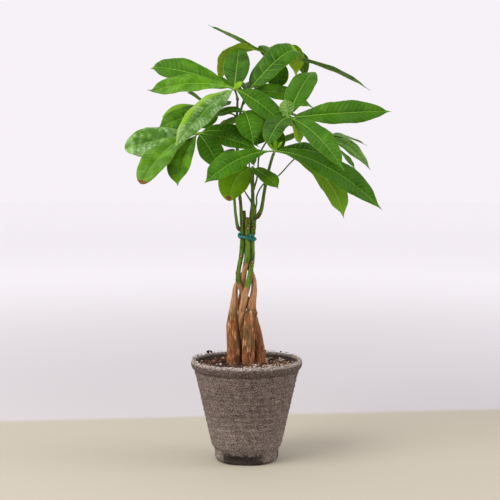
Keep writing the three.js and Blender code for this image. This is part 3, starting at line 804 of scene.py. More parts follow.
# the potting mix, with its loose bits
soil = {
    "level": 112.4, "crown": 1.6, "relief": 1.3, "edge": 58,  # heaped in the middle, even at the edge
    "gap": 0.4, "rings": 58, "sides": 200,  # the gap to the pot's wall, and the grid on top
    "crumbs": 800, "chips": 170, "perlite": 320, "rimCrumbs": 22,  # how many loose bits
    "reach": 56.5,  # how far out they lie, and the x, y and radius of the stems they keep clear of
    "stemsAt": [(-15, -1, 8.2), (1.7, -8, 7.2), (15.6, 3, 7), (-3, 9.5, 4.4), (8.5, 16, 5.2)],
}


def soilHeight(x, y):  # low waves with finer crumbs, which fade out at the edge
    share = math.hypot(x, y) / soil["edge"]
    relief = math.sin(x * 0.53 + 1.7 * math.sin(y * 0.31)) * math.cos(y * 0.47 + 1.3 * math.sin(x * 0.37))
    fade = 1 - smooth(0.93, 1.0, share)
    crumbs = 0.7 * grainAt(x, y, 3, 4.5) + 0.5 * grainAt(x, y, 8, 2.1)
    return soil["level"] + soil["crown"] * (1 - share * share) + (soil["relief"] * relief + crumbs) * fade


def buildSoil():
    shape, gap = newShape(), soil["gap"]
    top = pot["mouthRadius"] + 0.6 - pot["wall"] - gap
    low = [
        (pot["floorRadius"] - gap, pot["floor"] + gap), (pot["footRadius"] - 5 - gap, pot["innerFoot"] + gap),
        (pot["shoulderRadius"] - pot["wall"] - gap, pot["shoulderHeight"]),
        (top, pot["height"] - pot["collar"] - 0.5), (top, soil["level"] - 0.6),
    ]
    rows = [addRing(shape, radius, z, soil["sides"]) for radius, z in low]
    for ring in range(soil["rings"], 0, -1):
        row = []
        for turn in turnsOf(soil["sides"]):
            x, y = polar(top * ring / soil["rings"], turn)
            shade = smooth(-0.1, 0.5, grainAt(x, y, 20, 7)) * 0.5
            dusty = smooth(-20, 30, x + 16 * grainAt(x, y, 30, 14))
            row.append(addPoint(shape, (x, y, soilHeight(x, y)), tint=(shade, dusty, 0)))
        rows.append(row)
    addRows(shape, rows, closed=True)
    addFan(shape, rows[0], addPoint(shape, (0, 0, low[0][1])), flip=True)
    addFan(shape, rows[-1], addPoint(shape, (0, 0, soilHeight(0, 0))))
    makePiece("pottingSoil", shape, [pottingMix], ["soil"])


def lumpTemplate():  # an octahedron, split twice
    corners = [Vector(v) for v in ((1, 0, 0), (-1, 0, 0), (0, 1, 0), (0, -1, 0), (0, 0, 1), (0, 0, -1))]
    faces = [(0, 2, 4), (2, 1, 4), (1, 3, 4), (3, 0, 4), (2, 0, 5), (1, 2, 5), (3, 1, 5), (0, 3, 5)]
    for _ in range(2):
        middles, split = {}, []

        def middle(a, b):
            key = (min(a, b), max(a, b))
            if key not in middles:
                middles[key] = len(corners)
                corners.append(((corners[a] + corners[b]) / 2).normalized())
            return middles[key]
        for a, b, c in faces:
            ab, bc, ca = middle(a, b), middle(b, c), middle(c, a)
            split += [(a, ab, ca), (ab, b, bc), (ca, bc, c), (ab, bc, ca)]
        faces = split
    return corners, faces


lumpCorners, lumpFaces = lumpTemplate()


def turned(a, b, angle):  # two coordinates, turned about the third axis
    return a * math.cos(angle) - b * math.sin(angle), a * math.sin(angle) + b * math.cos(angle)


def addLump(shape, at, size, flat, rough, draw, shade):
    length, width, height = size, size * draw.uniform(0.6, 0.95), size * flat
    turn, tip, roll = draw.uniform(0, 2 * math.pi), draw.gauss(0, 0.4), draw.gauss(0, 0.4)
    seed = draw.uniform(0, 200)
    start = len(shape["points"])
    for corner in lumpCorners:
        push = 1 + rough * noise.noise(corner * 1.3 + Vector((seed, 0, 0)))
        push += 0.5 * rough * noise.noise(corner * 3 + Vector((0, seed, 0)))
        x, y, z = Vector((corner.x * length, corner.y * width, corner.z * height)) * push * 0.5
        y, z = turned(y, z, tip)
        z, x = turned(z, x, roll)
        x, y = turned(x, y, turn)
        addPoint(shape, Vector(at) + Vector((x, y, z)), tint=(shade, 0, 0))
    for face in lumpFaces:
        addFace(shape, tuple(start + i for i in face))


def scatterSpots(draw, count):  # even over the soil, clear of the stems
    spots = []
    while len(spots) < count:
        turn, radius = draw.uniform(0, 2 * math.pi), soil["reach"] * math.sqrt(draw.random())
        x, y = polar(radius, turn)
        if all(math.hypot(x - sx, y - sy) > sr + 0.8 for sx, sy, sr in soil["stemsAt"]):
            spots.append((x, y))
    return spots


def buildBits():
    draw = random.Random(41)
    crumbs, chips, white = newShape(), newShape(), newShape()
    for x, y in scatterSpots(draw, soil["crumbs"]):
        size = draw.uniform(1.1, 3.0)
        where = (x, y, soilHeight(x, y) + size * 0.1)
        addLump(crumbs, where, size, draw.uniform(0.5, 0.9), 0.7, draw, draw.uniform(0, 0.9))
    for x, y in scatterSpots(draw, soil["chips"]):
        size = draw.uniform(1.8, 5.0) * (1.2 if x < -10 else 1)
        where = (x, y, soilHeight(x, y) + 0.4)
        addLump(chips, where, size, draw.uniform(0.25, 0.45), 0.6, draw, draw.random() ** 1.6)
    for x, y in scatterSpots(draw, soil["perlite"]):
        if x < 4 and draw.random() < 0.65:
            continue
        size = draw.uniform(0.8, 2.6)
        where = (x, y, soilHeight(x, y) + size * 0.2)
        addLump(white, where, size, draw.uniform(0.6, 0.9), 0.7, draw, draw.random())
    for _ in range(soil["rimCrumbs"]):
        turn, radius, size = draw.uniform(0, 2 * math.pi), draw.uniform(60.5, 63), draw.uniform(1.0, 2.6)
        where = (*polar(radius, turn), pot["height"] + size * 0.2 - 0.4)
        addLump(white if draw.random() < 0.4 else crumbs, where, size, 0.7, 0.7, draw, draw.random())
    addLump(crumbs, (-46.5, 41, 121), 5.2, 0.75, 0.8, draw, 0.9)  # two big crumbs lie on the lip at the back
    addLump(crumbs, (-43, 44, 120.8), 3.4, 0.7, 0.8, draw, 0.9)
    makePiece("soilCrumbs", crumbs, [pottingMix])
    makePiece("barkChips", chips, [barkChip])
    makePiece("perliteBits", white, [perlite])


buildSoil()
buildBits()
print("potting mix made")


# the five braided stems: stations are x, y, z and radius, from the root end up
stems = {
    "stem_left": [
        (-13, 0, 62, 5.5), (-14.9, -1, 110, 8.2), (-15, -1, 136, 7.8), (-15.6, 0.6, 150, 7.2),
        (-15.8, 1.2, 164, 6.8), (-15.7, 0.8, 172, 5.2), (-15, 0.2, 182, 3.9), (-13.6, 0.4, 194, 3.3),
        (-12.6, 1.8, 204, 2.8), (-8.2, 5.4, 212, 2.8), (-2.8, 6.8, 221, 2.9), (0.8, 9, 231, 2.8),
        (3.4, 9.2, 240, 2.8), (4.8, 6.7, 250, 2.7), (4, 5, 262, 2.7), (5, 5.8, 280, 2.5),
        (7, 8, 303, 2), (6.5, 11, 322, 1.8), (0, 12, 340, 1.7), (-8, 12, 355, 1.6),
        (-11.2, 11.5, 368, 1.6), (-10, 11, 391, 1.5), (-6, 10, 411, 1.4), (-2, 9, 424, 1.3),
    ],
    "stem_centre": [
        (1, -7, 62, 5), (1.7, -8, 110, 7.2), (2.6, -8, 136, 7), (3.8, -8, 159, 6.7),
        (5, -7.2, 172, 6.5), (5.6, -6.2, 177, 5.2), (6.6, -5.2, 185, 4.7), (8, -3, 194, 3.8),
        (8.8, -0.4, 204, 3.2), (8.2, 2.2, 212, 3), (5.2, 3.2, 221, 2.9), (2.4, 3.4, 231, 2.8),
        (0.2, 3.2, 240, 2.8), (-0.7, 3.4, 250, 2.7), (-1.9, 3.9, 262, 2.7), (-2.1, 4, 276, 2.4),
        (-2.4, 4, 286, 2), (-3.1, 4.1, 292.5, 1.9),
    ],
    "stem_right": [
        (13, 3, 62, 5), (15.6, 3, 110, 7), (15, 3, 126, 6.6), (13.2, 3.4, 142, 6),
        (11, 4, 154, 5.2), (7.8, 4.4, 168, 4.6), (4.4, 4.6, 178, 3.9), (1, 4, 186, 3.5),
        (-2.2, 2.2, 192.5, 3.2), (-5.6, -0.8, 200, 3), (-8.4, -2.8, 207, 3), (-9.8, -3, 213, 2.8),
        (-9.6, -2.4, 221, 2.6), (-8, -1.6, 231, 2.6), (-6.2, -1.7, 240, 2.7), (-5.4, -1.9, 250, 2.7),
        (-4.8, -2.1, 262, 2.7), (-4.8, -2, 272, 2.7), (-5.9, -1.5, 286, 2.2), (-7, -1, 303, 1.75),
        (-8.8, 0, 321, 1.7), (-10.6, 2, 345, 1.6), (-11.1, 4, 365, 1.6), (-11.4, 4, 391, 1.5),
        (-10.8, 3, 410, 1.4), (-10.2, 1, 424, 1.3),
    ],
    "stem_front": [
        (-2, 9, 62, 4), (-3, 9.5, 110, 4.4), (-4, 5.5, 122, 3.6), (-4.4, 2.6, 136, 3),
        (-5.2, -2.2, 150, 2.9), (-6, -3.6, 160, 3.3), (-6.1, -4.6, 171, 3.8), (-4.7, -5, 180, 4),
        (-3, -5.6, 188, 3.9), (-2.1, -6.3, 195, 3.9), (0.5, -6.3, 203, 3.6), (2.6, -5.4, 212, 3.2),
        (4.6, -4.2, 222, 2.8), (6, -2.8, 231, 2.7), (7, -1.7, 240, 2.6), (7, -1, 250, 2.5),
        (6.8, -0.9, 262, 2.5), (8, -1.2, 272, 2.8), (8.6, -1.2, 286, 2.9), (8.5, -1.2, 293, 2.5),
        (7.4, -1.5, 303, 2.1), (7.1, -4, 321, 2), (7, -8, 337.5, 1.8),
    ],
    "stem_back": [
        (8, 15, 62, 4), (8.5, 16, 110, 5.2), (6, 15.5, 136, 4.6), (0, 13.5, 159, 3.8),
        (-7.5, 9.6, 176, 3.3), (-8, 8.4, 185, 3.2), (-5.6, 8.3, 195, 3.1), (-4.4, 4.9, 204, 3),
        (-4, 0.6, 212, 3), (-2.8, -2.9, 221, 2.9), (-0.9, -4.5, 231, 3.2), (0.8, -4.9, 240, 3.3),
        (1.4, -4.8, 250, 3.1), (0.9, -4.6, 262, 3), (0.8, -4.3, 272, 2.9), (1.2, -3.6, 285, 3),
    ],
}
sideShoot = [
    (8.6, -1.2, 283, 2), (13.6, -1.6, 287.5, 2.7), (16.8, -2.4, 293.5, 2.3), (18.4, -3.8, 301, 2.1),
    (20.6, -9.5, 316, 1.9), (24.6, -19, 337, 1.8), (29, -28, 354, 1.6), (30.6, -31, 359, 1.5),
]
stemLook = {
    "greenFrom": {  # the height where the bark turns green, and below it where moss begins
        "stem_left": 216, "stem_centre": 220, "stem_right": 207, "stem_front": 203, "stem_back": 231,
    },
    "mossFrom": {
        "stem_left": 172, "stem_centre": 178, "stem_right": 160, "stem_front": 165, "stem_back": 170,
    },
    "knots": {  # the heights of swollen rings
        "stem_centre": (175.5,), "stem_front": (176, 293), "stem_right": (190,), "stem_back": (240,),
    },
    "scars": {  # height, turn and size of the leaf scars that show
        "stem_right": ((240.3, -100, 2.2), (279, -70, 2), (220.3, 190, 2)),
        "stem_back": ((272.5, -75, 2.6), (281, -50, 2), (277.5, -125, 1.8), (265, -105, 1.6)),
        "stem_front": ((274, -80, 2), (267, -20, 1.9), (233.2, -75, 2), (216, -80, 1.4)),
        "stem_left": ((262, -40, 1.8), (290, -100, 1.7), (232, -60, 1.6)),
    },
    "cut": ("stem_centre", "stem_back"), "scarEvery": 18, "sides": 32, "perSpan": 9,
}


def cutAway(name, z, angle):  # 1 on the ragged dead end of a cut stem
    if name not in stemLook["cut"]:
        return 0
    top = stems[name][-1][2]
    return smooth(top - 3.6, top - 1.6, z + 1.3 * ringGrain(angle, 2, top))


def spotAt(ring, angle, z, turn, size):  # 1 in the middle of a leaf scar, falling off to 0
    across = ring["radius"] * ((angle - turn + math.pi) % (2 * math.pi) - math.pi)
    return math.exp(-(((ring["point"].z - z) / (0.8 * size)) ** 2) - (across / (1.4 * size)) ** 2)


def scarsOf(name):  # leaf scars up the green part, turning round the stem, and those that show in the look
    draw = random.Random(name)
    low, high, every = stemLook["greenFrom"][name] - 4, stems[name][-1][2] - 12, stemLook["scarEvery"]
    start = draw.uniform(0, 6)
    scars = []
    for i in range(max(0, int((high - low) / every))):
        z = low + every * (i + draw.uniform(0.2, 0.8))
        scars.append((z, start + 2.4 * i, draw.uniform(0.7, 1.3)))
    return scars + [(z, math.radians(turn), size) for z, turn, size in stemLook["scars"].get(name, ())]


def stemRelief(name, scars):
    knots = stemLook["knots"].get(name, ())
    seed = len(name) * 7.3 + sum(map(ord, name)) % 97

    def relief(ring, angle):
        z, radius, length = ring["point"].z, ring["radius"], ring["length"]
        woody = 1 - smooth(-8, 10, z - stemLook["greenFrom"][name])
        x, y = polar(1, angle)
        furrow = grainAt(x * 3.2 + seed, y * 3.2, length * 0.06, 1)
        flake = smooth(0.02, 0.22, ringGrain(angle, 1.7, length * 0.075, seed))
        fine = ringGrain(angle, 7, length * 0.14, seed)
        out = woody * (radius / 7) * (0.75 * furrow + 0.55 * flake + 0.4 * fine)
        out += 0.12 * (1 - woody) * grainAt(x * 2 + seed, y * 2, length * 0.2, 1)
        for at in knots:  # a swollen ring, with a groove over it
            out += radius * (0.16 * bump(z, at, 2.4) * (1 + 0.6 * x) - 0.07 * bump(z, at + 1.8, 1.1))
        for at, turn, size in scars:
            out += 0.5 * spotAt(ring, angle, at, turn, size) + 0.12 * bump(z, at, size)
        return out + 0.8 * cutAway(name, z, angle) * ringGrain(angle, 2, z * 0.4, seed)
    return relief


def stemMarks(name, scars):  # grain: green, scar, seed; tint: moss, knot, cut
    seed = (sum(map(ord, name)) % 31) / 31
    knots = stemLook["knots"].get(name, ())

    def marks(ring, angle):
        z = ring["point"].z
        green = smooth(-9, 11, z - stemLook["greenFrom"][name])
        scar = max([spotAt(ring, angle, *spot) for spot in scars] + [0])
        moss = smooth(-6, 14, z - stemLook["mossFrom"][name]) * (1 - green)
        # knot marks the groove over a swollen ring, painted dark as shade
        knot = max([bump(z, at + 1.6, 0.9) for at in knots] + [0])
        return (green, scar, seed), (moss, knot, cutAway(name, z, angle))
    return marks


def shootRelief(ring, angle):  # a rough knob where the side shoot leaves its stem
    knob = 1 - smooth(0.9, 2.2, ring["s"])
    return knob * (0.25 + 0.7 * ringGrain(angle, 2, ring["length"] * 0.5))


def shootMarks(ring, angle):  # brown on the side of the knob that shows
    facing = 0.7 * math.cos(angle) - 0.3 * math.sin(angle)
    low = (1 - smooth(1.2, 2.0, ring["s"])) * smooth(-0.5, 0.4, facing)
    return (1, 0.6 * low, 0.4), (0, 0, 0)


def buildStems():
    perSpan, sides = stemLook["perSpan"], stemLook["sides"]
    for name, stations in stems.items():
        shape, scars = newShape(), scarsOf(name)
        skin = stemRelief(name, scars), stemMarks(name, scars)
        addLimb(shape, stations, perSpan, sides, *skin, ends=(0.5, 0.25))
        if name == "stem_front":
            addLimb(shape, sideShoot, perSpan, sides, shootRelief, shootMarks)
        makePiece("braid" + name.split("_")[1].title(), shape, [stemSkin], [name])


# the plant tie: a flat loop round the stems (x, y and z), and its two curled ends (with their radius)
tie = {
    "half": 1.8, "flatten": 0.55,
    "loop": [
        (8.7, -4.7, 259.4), (10.7, -0.8, 259.8), (10.3, 1.8, 260.2), (7.9, 7, 261), (4, 9.4, 262),
        (-1.5, 8.4, 263), (-5.4, 6.4, 263.6), (-7.6, 2.4, 264), (-9.1, -2, 264), (-8, -5.1, 263.6),
        (-4.6, -7.2, 263), (0.6, -9.2, 262), (3.4, -8.6, 261), (6.2, -6.9, 260), (8, -6.3, 259.4),
    ],
    "curls": [
        [(4.2, -8.8, 260.6, 1.3), (4, -9, 263.6, 1.3), (5, -8.8, 265.6, 1.2), (7, -7.8, 264.6, 1.2),
         (8.4, -6.8, 262, 1.3), (8.6, -6, 259, 1.2)],
        [(-5.6, -7, 262.6, 1.2), (-7.8, -5.8, 261.8, 1.2), (-9, -4, 263.6, 1.2), (-8.6, -4.6, 266.4, 1.2),
         (-6.6, -6.4, 267.2, 1.1)],
    ],
}


def tieRelief(ring, angle):
    return 0.12 * math.cos(3 * angle) + 0.05 * math.sin(ring["length"] * 2.2)


def buildTie():
    shape = newShape()
    loop = [(*point, tie["half"]) for point in tie["loop"]]
    addLimb(shape, loop, 8, 20, tieRelief, flatten=tie["flatten"])
    for curl in tie["curls"]:
        addLimb(shape, curl, 8, 16, tieRelief)
    makePiece("plantTieLoop", shape, [plantTie], ["tie"])


buildStems()
buildTie()
print("stems and tie made")


# what one leaflet may set for itself, with the usual values; t runs from 0 at the hub to 1 at the tip
leafletLook = {
    "fullest": 0.53, "roundTip": False,  # the t where it is widest, and a blunt tip
    "fold": 8, "wave": 1.0, "hook": 0,  # degrees its halves lift, height of the edge waves, curl of the tip
    "veinEvery": 5.4, "pucker": 0.4, "crinkle": 0.5,  # mm from vein to vein, depth of the veins, unevenness
    "shade": 0.45, "gloss": 0.1, "bands": 0.12,  # dark to bright green, partly painted light and shade; gloss, with a painted sheen; painted shade in bands at the veins
    "gold": 0, "goldSide": 0, "goldEnd": 1,  # yellow all over, partly painted light shining through backlit leaflets, on one side, and from this t to the tip
    "brown": 0, "spot": None,  # a dry tip, and the t and side of a dry spot
}


# reach is the tip from the hub, bow how far the rib arches, and face where the upper side looks
def leaflet(reach, bow, width, face, **looks):
    return {**leafletLook, "reach": reach, "bow": bow, "width": width, "face": face, **looks}


# the stalk of each compound leaf, with stations like a stem's; its last one is the hub
petioles = {
    "leaf_upper_left": [(-10.4, 1.6, 421, 1.2), (-11.6, -2, 427, 1.1), (-14, -8, 433, 1.3)],
    "leaf_crown": [(-2.4, 9.2, 421, 1.2), (-0.8, 8.6, 425, 1.1), (0.5, 8, 429, 1.3)],
    "leaf_top": [
        (-4, 9.5, 417, 1.1), (3.5, 13, 424, 1), (9.4, 17, 434, 0.9), (18.4, 29, 452, 0.9),
        (30, 45, 474, 1.2),
    ],
    "leaf_right": [
        (7.8, -3, 318, 1.2), (11.5, -2, 328, 1), (13, -4, 340, 1), (15, -11, 358, 1), (29, -28, 381, 1),
        (47, -42, 399, 1.3),
    ],
    "leaf_front": [(30.4, -30.6, 358.4, 1.3), (31.2, -31.8, 360.2, 1.2), (32, -33, 362, 1.4)],
    "leaf_middle": [
        (6.4, -4.6, 326, 1.1), (3.6, -4, 334, 0.9), (3.2, -6, 350, 0.8), (3, -7.5, 366, 0.8),
        (1.6, -8, 388, 0.8), (-3, -8, 407, 1.1),
    ],
    "leaf_left": [
        (-4.8, -2, 269, 1.8), (-9.6, -2.2, 273, 2), (-12.4, -2.4, 287, 1.7), (-13.8, -2.6, 302, 1.6),
        (-15.4, -3.4, 322, 1.4), (-24, -8, 350, 1.2), (-42, -16, 371, 1.1), (-55, -20, 382, 1.4),
    ],
    "leaf_back_left": [
        (-11.2, 3.8, 401, 1.1), (-17, 10, 405, 0.9), (-25, 20, 405.5, 0.9), (-34, 28, 407, 1.2),
    ],
    "leaf_low": [(7, -7, 335, 1.2), (7, -9.5, 339, 1.1), (7, -12, 343, 1.3)],
    "leaf_back_right": [
        (9.4, 0.4, 293, 1.2), (11.6, 2.4, 301, 1), (12, 2.6, 310, 0.9), (20, 2, 324, 0.9),
        (36.4, 3, 333, 0.8), (52, 12, 349, 0.8), (86, 45, 379, 1.2),
    ],
    "leaf_low_back": [
        (7.4, -1.5, 301, 1.2), (0.4, 3.4, 311, 0.9), (-3.6, 7.6, 317.5, 0.8), (-13, 20, 334, 0.9),
        (-24, 35, 355, 1.2),
    ],
    "leaf_back": [(-2, 12, 343, 1.2), (3, 24, 359, 0.9), (10, 46, 382, 0.9), (18, 68, 398, 1.2)],
}
leaflets = {
    "leaf_upper_left": [
        leaflet((-99, 13, 26), (0, 0, 10), 32, (0, -0.85, 0.5), fullest=0.6, shade=0.54, gloss=0.3,
                hook=-3.5, brown=1.2, bands=0.1),
        leaflet((-100, -12, -6), (0, 0, 17), 26, (0, -0.8, 0.6), fullest=0.56, shade=0.76, gloss=0.5,
                hook=5, brown=1.6, bands=0.1),
        leaflet((-66, -67, -68), (0, 0, 14), 30, (-0.1, -0.8, 0.55), fullest=0.5, shade=0.52, goldSide=1,
                gloss=1.0, pucker=0.8, bands=0.5, crinkle=1.4),
        leaflet((10, -4, 8), (0, 0, 1), 7, (0, -0.9, 0.4), fullest=0.4, shade=0.9, gold=0.5),
        leaflet((58, -14, -44), (0, 0, 10), 28, (0.1, -0.85, 0.5), shade=0.42, gloss=0.25, pucker=0.3),
        leaflet((5, 55, 50), (0, 0, 3), 31, (0, -0.6, 0.8), fullest=0.48, roundTip=True, shade=0.26,
                gloss=0.3, pucker=0.25),
    ],
    "leaf_crown": [
        leaflet((60, 30, 38), (31, -5, 55), 36, (-0.5, -0.8, 0.3), fullest=0.36, roundTip=True,
                shade=0.36, goldEnd=0.6, gloss=0.3, pucker=0.8, bands=0.3, veinEvery=7),
        leaflet((80, 37, -17), (0, 0, 17), 27, (0, -0.75, 0.65), shade=0.62, gloss=0.15),
        leaflet((-4, 90, 10), (0, 0, 16), 27, (0, -0.3, 1)),
        leaflet((-74, 72, 17), (0, 0, 12), 28, (0, -0.3, 1)),
    ],
    "leaf_top": [
        leaflet((-76, 15, 38), (0, 0, -2), 22, (0.4, 0.12, 0.9), gloss=1.2, wave=0.3, crinkle=0.2),
        # this leaflet and the fourth are painted bright yellow as light shining through them from behind
        leaflet((-62, 20, -28), (-20, 10, 42), 36, (-0.4, 0.35, 0.8), fullest=0.6, roundTip=True, shade=1,
                gold=0.75),
        leaflet((119, 20, -40), (4, 0, 16), 22, (0.3, 0.16, 0.95), gloss=1.2, wave=0.3, crinkle=0.2),
        leaflet((30, 40, -24), (13, 5, 42), 31, (0.4, 0.5, 0.8), shade=0.9, gold=0.6),
        leaflet((7, 6, -40), (4, -6, 2), 28, (0, -1, 0.2), shade=0.5),
        leaflet((43, 70, -26), (12, 6, 38), 25, (0.2, 0.3, 0.9)),
        leaflet((-6, 88, 2), (0, 0, 24), 26, (0, 0, 1)),
    ],
    "leaf_right": [
        leaflet((118, 22, 8), (0, 0, 3), 31, (0, -0.87, 0.5), shade=0.58, gloss=0.3, pucker=0.9,
                bands=0.6, veinEvery=6),
        leaflet((58, -70, -58), (0, 0, 20), 28, (0, -0.7, 0.7), shade=0.48, gloss=0.3, pucker=0.5),
        leaflet((-24, -66, -29), (0, 0, 14), 27, (0, -0.45, 0.9), roundTip=True, shade=0.32, gloss=0.3),
        leaflet((13, -14, -29), (6, 2, 2), 22, (0.6, 0.6, 0.5), shade=0.5, gold=0.3),
        leaflet((30, 50, 54), (-2, 0, 10), 32, (-0.2, -0.8, 0.6), roundTip=True, shade=0.46, gloss=0.3,
                pucker=0.5, bands=0.2),
        leaflet((-4, -6, 21), (0, -2, 0), 17, (0.2, 1, 0.1), shade=1, gloss=1.3),
    ],
    "leaf_front": [
        leaflet((-78, -50, -35), (0, 0, 18), 31, (0, -0.75, 0.65), fullest=0.66, shade=0.58, gloss=0.25,
                pucker=0.6, bands=0.2),
        leaflet((118, -43, -65), (0, 0, 28), 33, (0, -0.75, 0.65), fullest=0.58, shade=0.44, gloss=0.3,
                pucker=0.5, bands=0.2),
        leaflet((78, -8, -76), (27, 0, 26), 31, (0.45, 0.8, 0.4), fullest=0.66, shade=0.6, gold=0.05),
        leaflet((82, 22, -16), (0, 0, 16), 29, (0, -0.5, 0.85), shade=0.28),
        leaflet((-9, -5, 10), (0, 0, 1), 4, (0, -1, 0.3), shade=0.8, gold=0.3),
        leaflet((1, -6, 14), (0, -1, 0), 4.4, (0, -1, 0.3), shade=0.8, gold=0.3),
        leaflet((9, -3, 11), (0, 0, 1), 3.6, (0, -1, 0.3), shade=0.8, gold=0.3),
    ],
    "leaf_middle": [
        leaflet((11, -34, -38), (0, -4, 14), 31, (0, -0.75, 0.65), pucker=0.6, bands=0.3),
        leaflet((34, 4, -22), (0, 0, 10), 22, (0, -0.5, 0.9), shade=0.4),
        leaflet((-32, -8, -6), (0, 0, 8), 20, (0, -0.5, 0.9), shade=0.4),
    ],
    "leaf_left": [
        leaflet((-83, -10, -18), (0, 0, 4), 35, (0.05, -0.9, 0.4), fullest=0.66, roundTip=True,
                shade=0.62, gloss=1.2, pucker=0.45, bands=0.1, crinkle=2, veinEvery=7),
        leaflet((-67, -36, -53), (-4, 0, 18), 22, (-0.5, -0.4, 0.8), shade=0.5, gloss=0.7, pucker=0.9,
                bands=0.4),
        leaflet((-60, -62, -56), (-7, 0, 20), 34, (-0.2, -0.7, 0.6), fullest=0.68, roundTip=True,
                shade=0.58, gold=0.08, gloss=0.5, pucker=0.6, brown=1.2),
        leaflet((-21, -45, -59), (-15, -12, 4), 28, (-0.2, -0.9, 0.3), shade=0.76, gloss=0.35, pucker=0.5,
                bands=0.2),
        leaflet((27, -25, -42), (0, -6, 6), 28, (0.1, -0.9, 0.4), shade=0.42, pucker=0.5),
        leaflet((70, 2, -16), (0, 0, 19), 24, (0, -0.7, 0.7), shade=0.32),
        leaflet((68, -16, -18), (0, 0, 5), 22, (0, -0.8, 0.6), shade=0.36),
        leaflet((-34, 46, -16), (0, 0, 10), 26, (0, -0.2, 1)),
    ],
    "leaf_back_left": [
        leaflet((-70, -23, -20), (0, 0, 9), 30, (-0.1, -0.8, 0.55), shade=0.64, pucker=0.5, gloss=0.35,
                bands=0.25),
        leaflet((-66, 14, -5), (0, 0, 10), 23, (0, -0.7, 0.7), fullest=0.66, roundTip=True, shade=0.75,
                gold=0.3),
        leaflet((-20, -30, -20), (0, -4, 4), 20, (0, -0.8, 0.5), shade=0.4),
        leaflet((-38, 32, 25), (0, 0, 2), 25, (0.2, 0.3, 0.9), shade=0.4),
        leaflet((5, 74, 10), (0, 0, 12), 26, (0, 0, 1)),
    ],
    "leaf_low": [
        leaflet((29, -44, -23), (0, -4, 5), 21, (0, -0.6, 0.8), shade=0.38, gold=0.1),
        leaflet((-26, -36, -37), (-11, -4, 12), 36, (-0.1, -0.85, 0.45), roundTip=True, shade=0.5,
                gold=0.25, spot=(0.95, 0.15)),
    ],
    "leaf_back_right": [
        leaflet((61, -10, -40), (4, 0, 18), 26, (0.4, -0.5, 0.7), shade=0.62, gloss=0.6),
        leaflet((60, 25, -11), (0, 0, 10), 20, (0.2, -0.2, 1), shade=0.62, gloss=0.6),
        leaflet((42, -34, -40), (4, 0, 6), 17, (0.9, -0.5, 0.4), shade=0.55, gloss=0.5),
        leaflet((8, 78, -6), (0, 0, 14), 27, (0, 0, 1)),
        leaflet((-44, 56, -8), (0, 0, 12), 26, (0, 0, 1)),
        leaflet((52, 62, -24), (0, 0, 12), 25, (0, 0, 1)),
    ],
    "leaf_low_back": [
        leaflet((-8, 68, -6), (0, 0, 18), 28, (0, 0, 1)),
        leaflet((34, 60, -12), (0, 0, 16), 27, (0, 0, 1)),
        leaflet((11, -6, -44), (0, 6, 4), 22, (0, 0.9, 0.3), shade=0.4),
    ],
    "leaf_back": [
        leaflet((0, 84, -14), (0, 0, 20), 29, (0, 0, 1)),
        leaflet((42, 66, -8), (0, 0, 18), 27, (0, 0, 1)),
        leaflet((-58, 48, -14), (0, 0, 16), 27, (0, 0, 1)),
        leaflet((50, -2, 2), (0, 0, 14), 23, (0, 0, 1)),
        leaflet((-46, -10, -2), (0, 0, 10), 23, (0, 0, 1)),
        # these two hang behind the rest and are painted dark as shade
        leaflet((-6, -14, -30), (0, -8, 2), 25, (0, -1, 0.3), shade=0.25),
        leaflet((25, -12, -38), (2, -8, 4), 24, (0.1, -1, 0.4), shade=0.25),
    ],
}
bladeLook = {  # what all the leaflets share
    "stalk": 0.8, "hub": 1.9,  # the radius of a leaflet's stalk, and of the hub
    "thick": 0.5, "arch": 0.18,  # how thick a blade is, and how far each half arches
    "waveEvery": 34, "rowsPerVein": 6,  # mm from wave to wave, and rows of points from vein to vein
    "woodyBend": {"leaf_left": (0.85, 0.35)},  # where a petiole is brown and lumpy: station and reach
    "columns": (0, 0.05, 0.12, 0.22, 0.35, 0.5, 0.65, 0.8, 0.92, 1),  # from the midrib to the edge
}


def outlineAt(blade, t):  # the blade's half width at t, as a share of the greatest
    s = clamp((t - 0.05) / 0.95)
    body = max(0, math.sin(math.pi * s ** (math.log(0.5) / math.log(blade["fullest"]))))
    if blade["roundTip"]:
        return body ** 0.55
    return body ** blendOf(0.7, 1.2, smooth(0.76, 1, t)) * (1 - 0.3 * smooth(0.86, 0.97, t))


def ribOf(hub, look):  # the midrib: a curve that gives its point and its directions along, across and up
    reach, bow, face = Vector(look["reach"]), Vector(look["bow"]), Vector(look["face"])
    middle, end, along = hub + reach / 2 + bow, hub + reach, reach.normalized()
    hinge = bow.cross(along).normalized()
    upright = (face - along * face.dot(along)).normalized()
    lean, rise = upright.dot(hinge), upright.dot(hinge.cross(along))

    def at(t):
        point = hub * (1 - t) ** 2 + middle * (2 * t * (1 - t)) + end * t * t
        tangent = ((middle - hub) * (1 - t) + (end - middle) * t).normalized()
        up = hinge * lean + hinge.cross(tangent) * rise
        return point, tangent, tangent.cross(up), up
    return at


def ribLength(rib):
    points = [rib(i / 20)[0] for i in range(21)]
    return sum((b - a).length for a, b in zip(points, points[1:]))


def halfAt(blade, t, u):
    half = blade["width"] / 2 * outlineAt(blade, t)
    half *= 1 + 0.025 * grainAt(t * blade["length"], blade["seed"], u * 2, 6)
    least = bladeLook["stalk"] * (1 - smooth(0.3, 1, t)) + (0.4 if blade["hook"] else 0.15)
    return max(half, least)


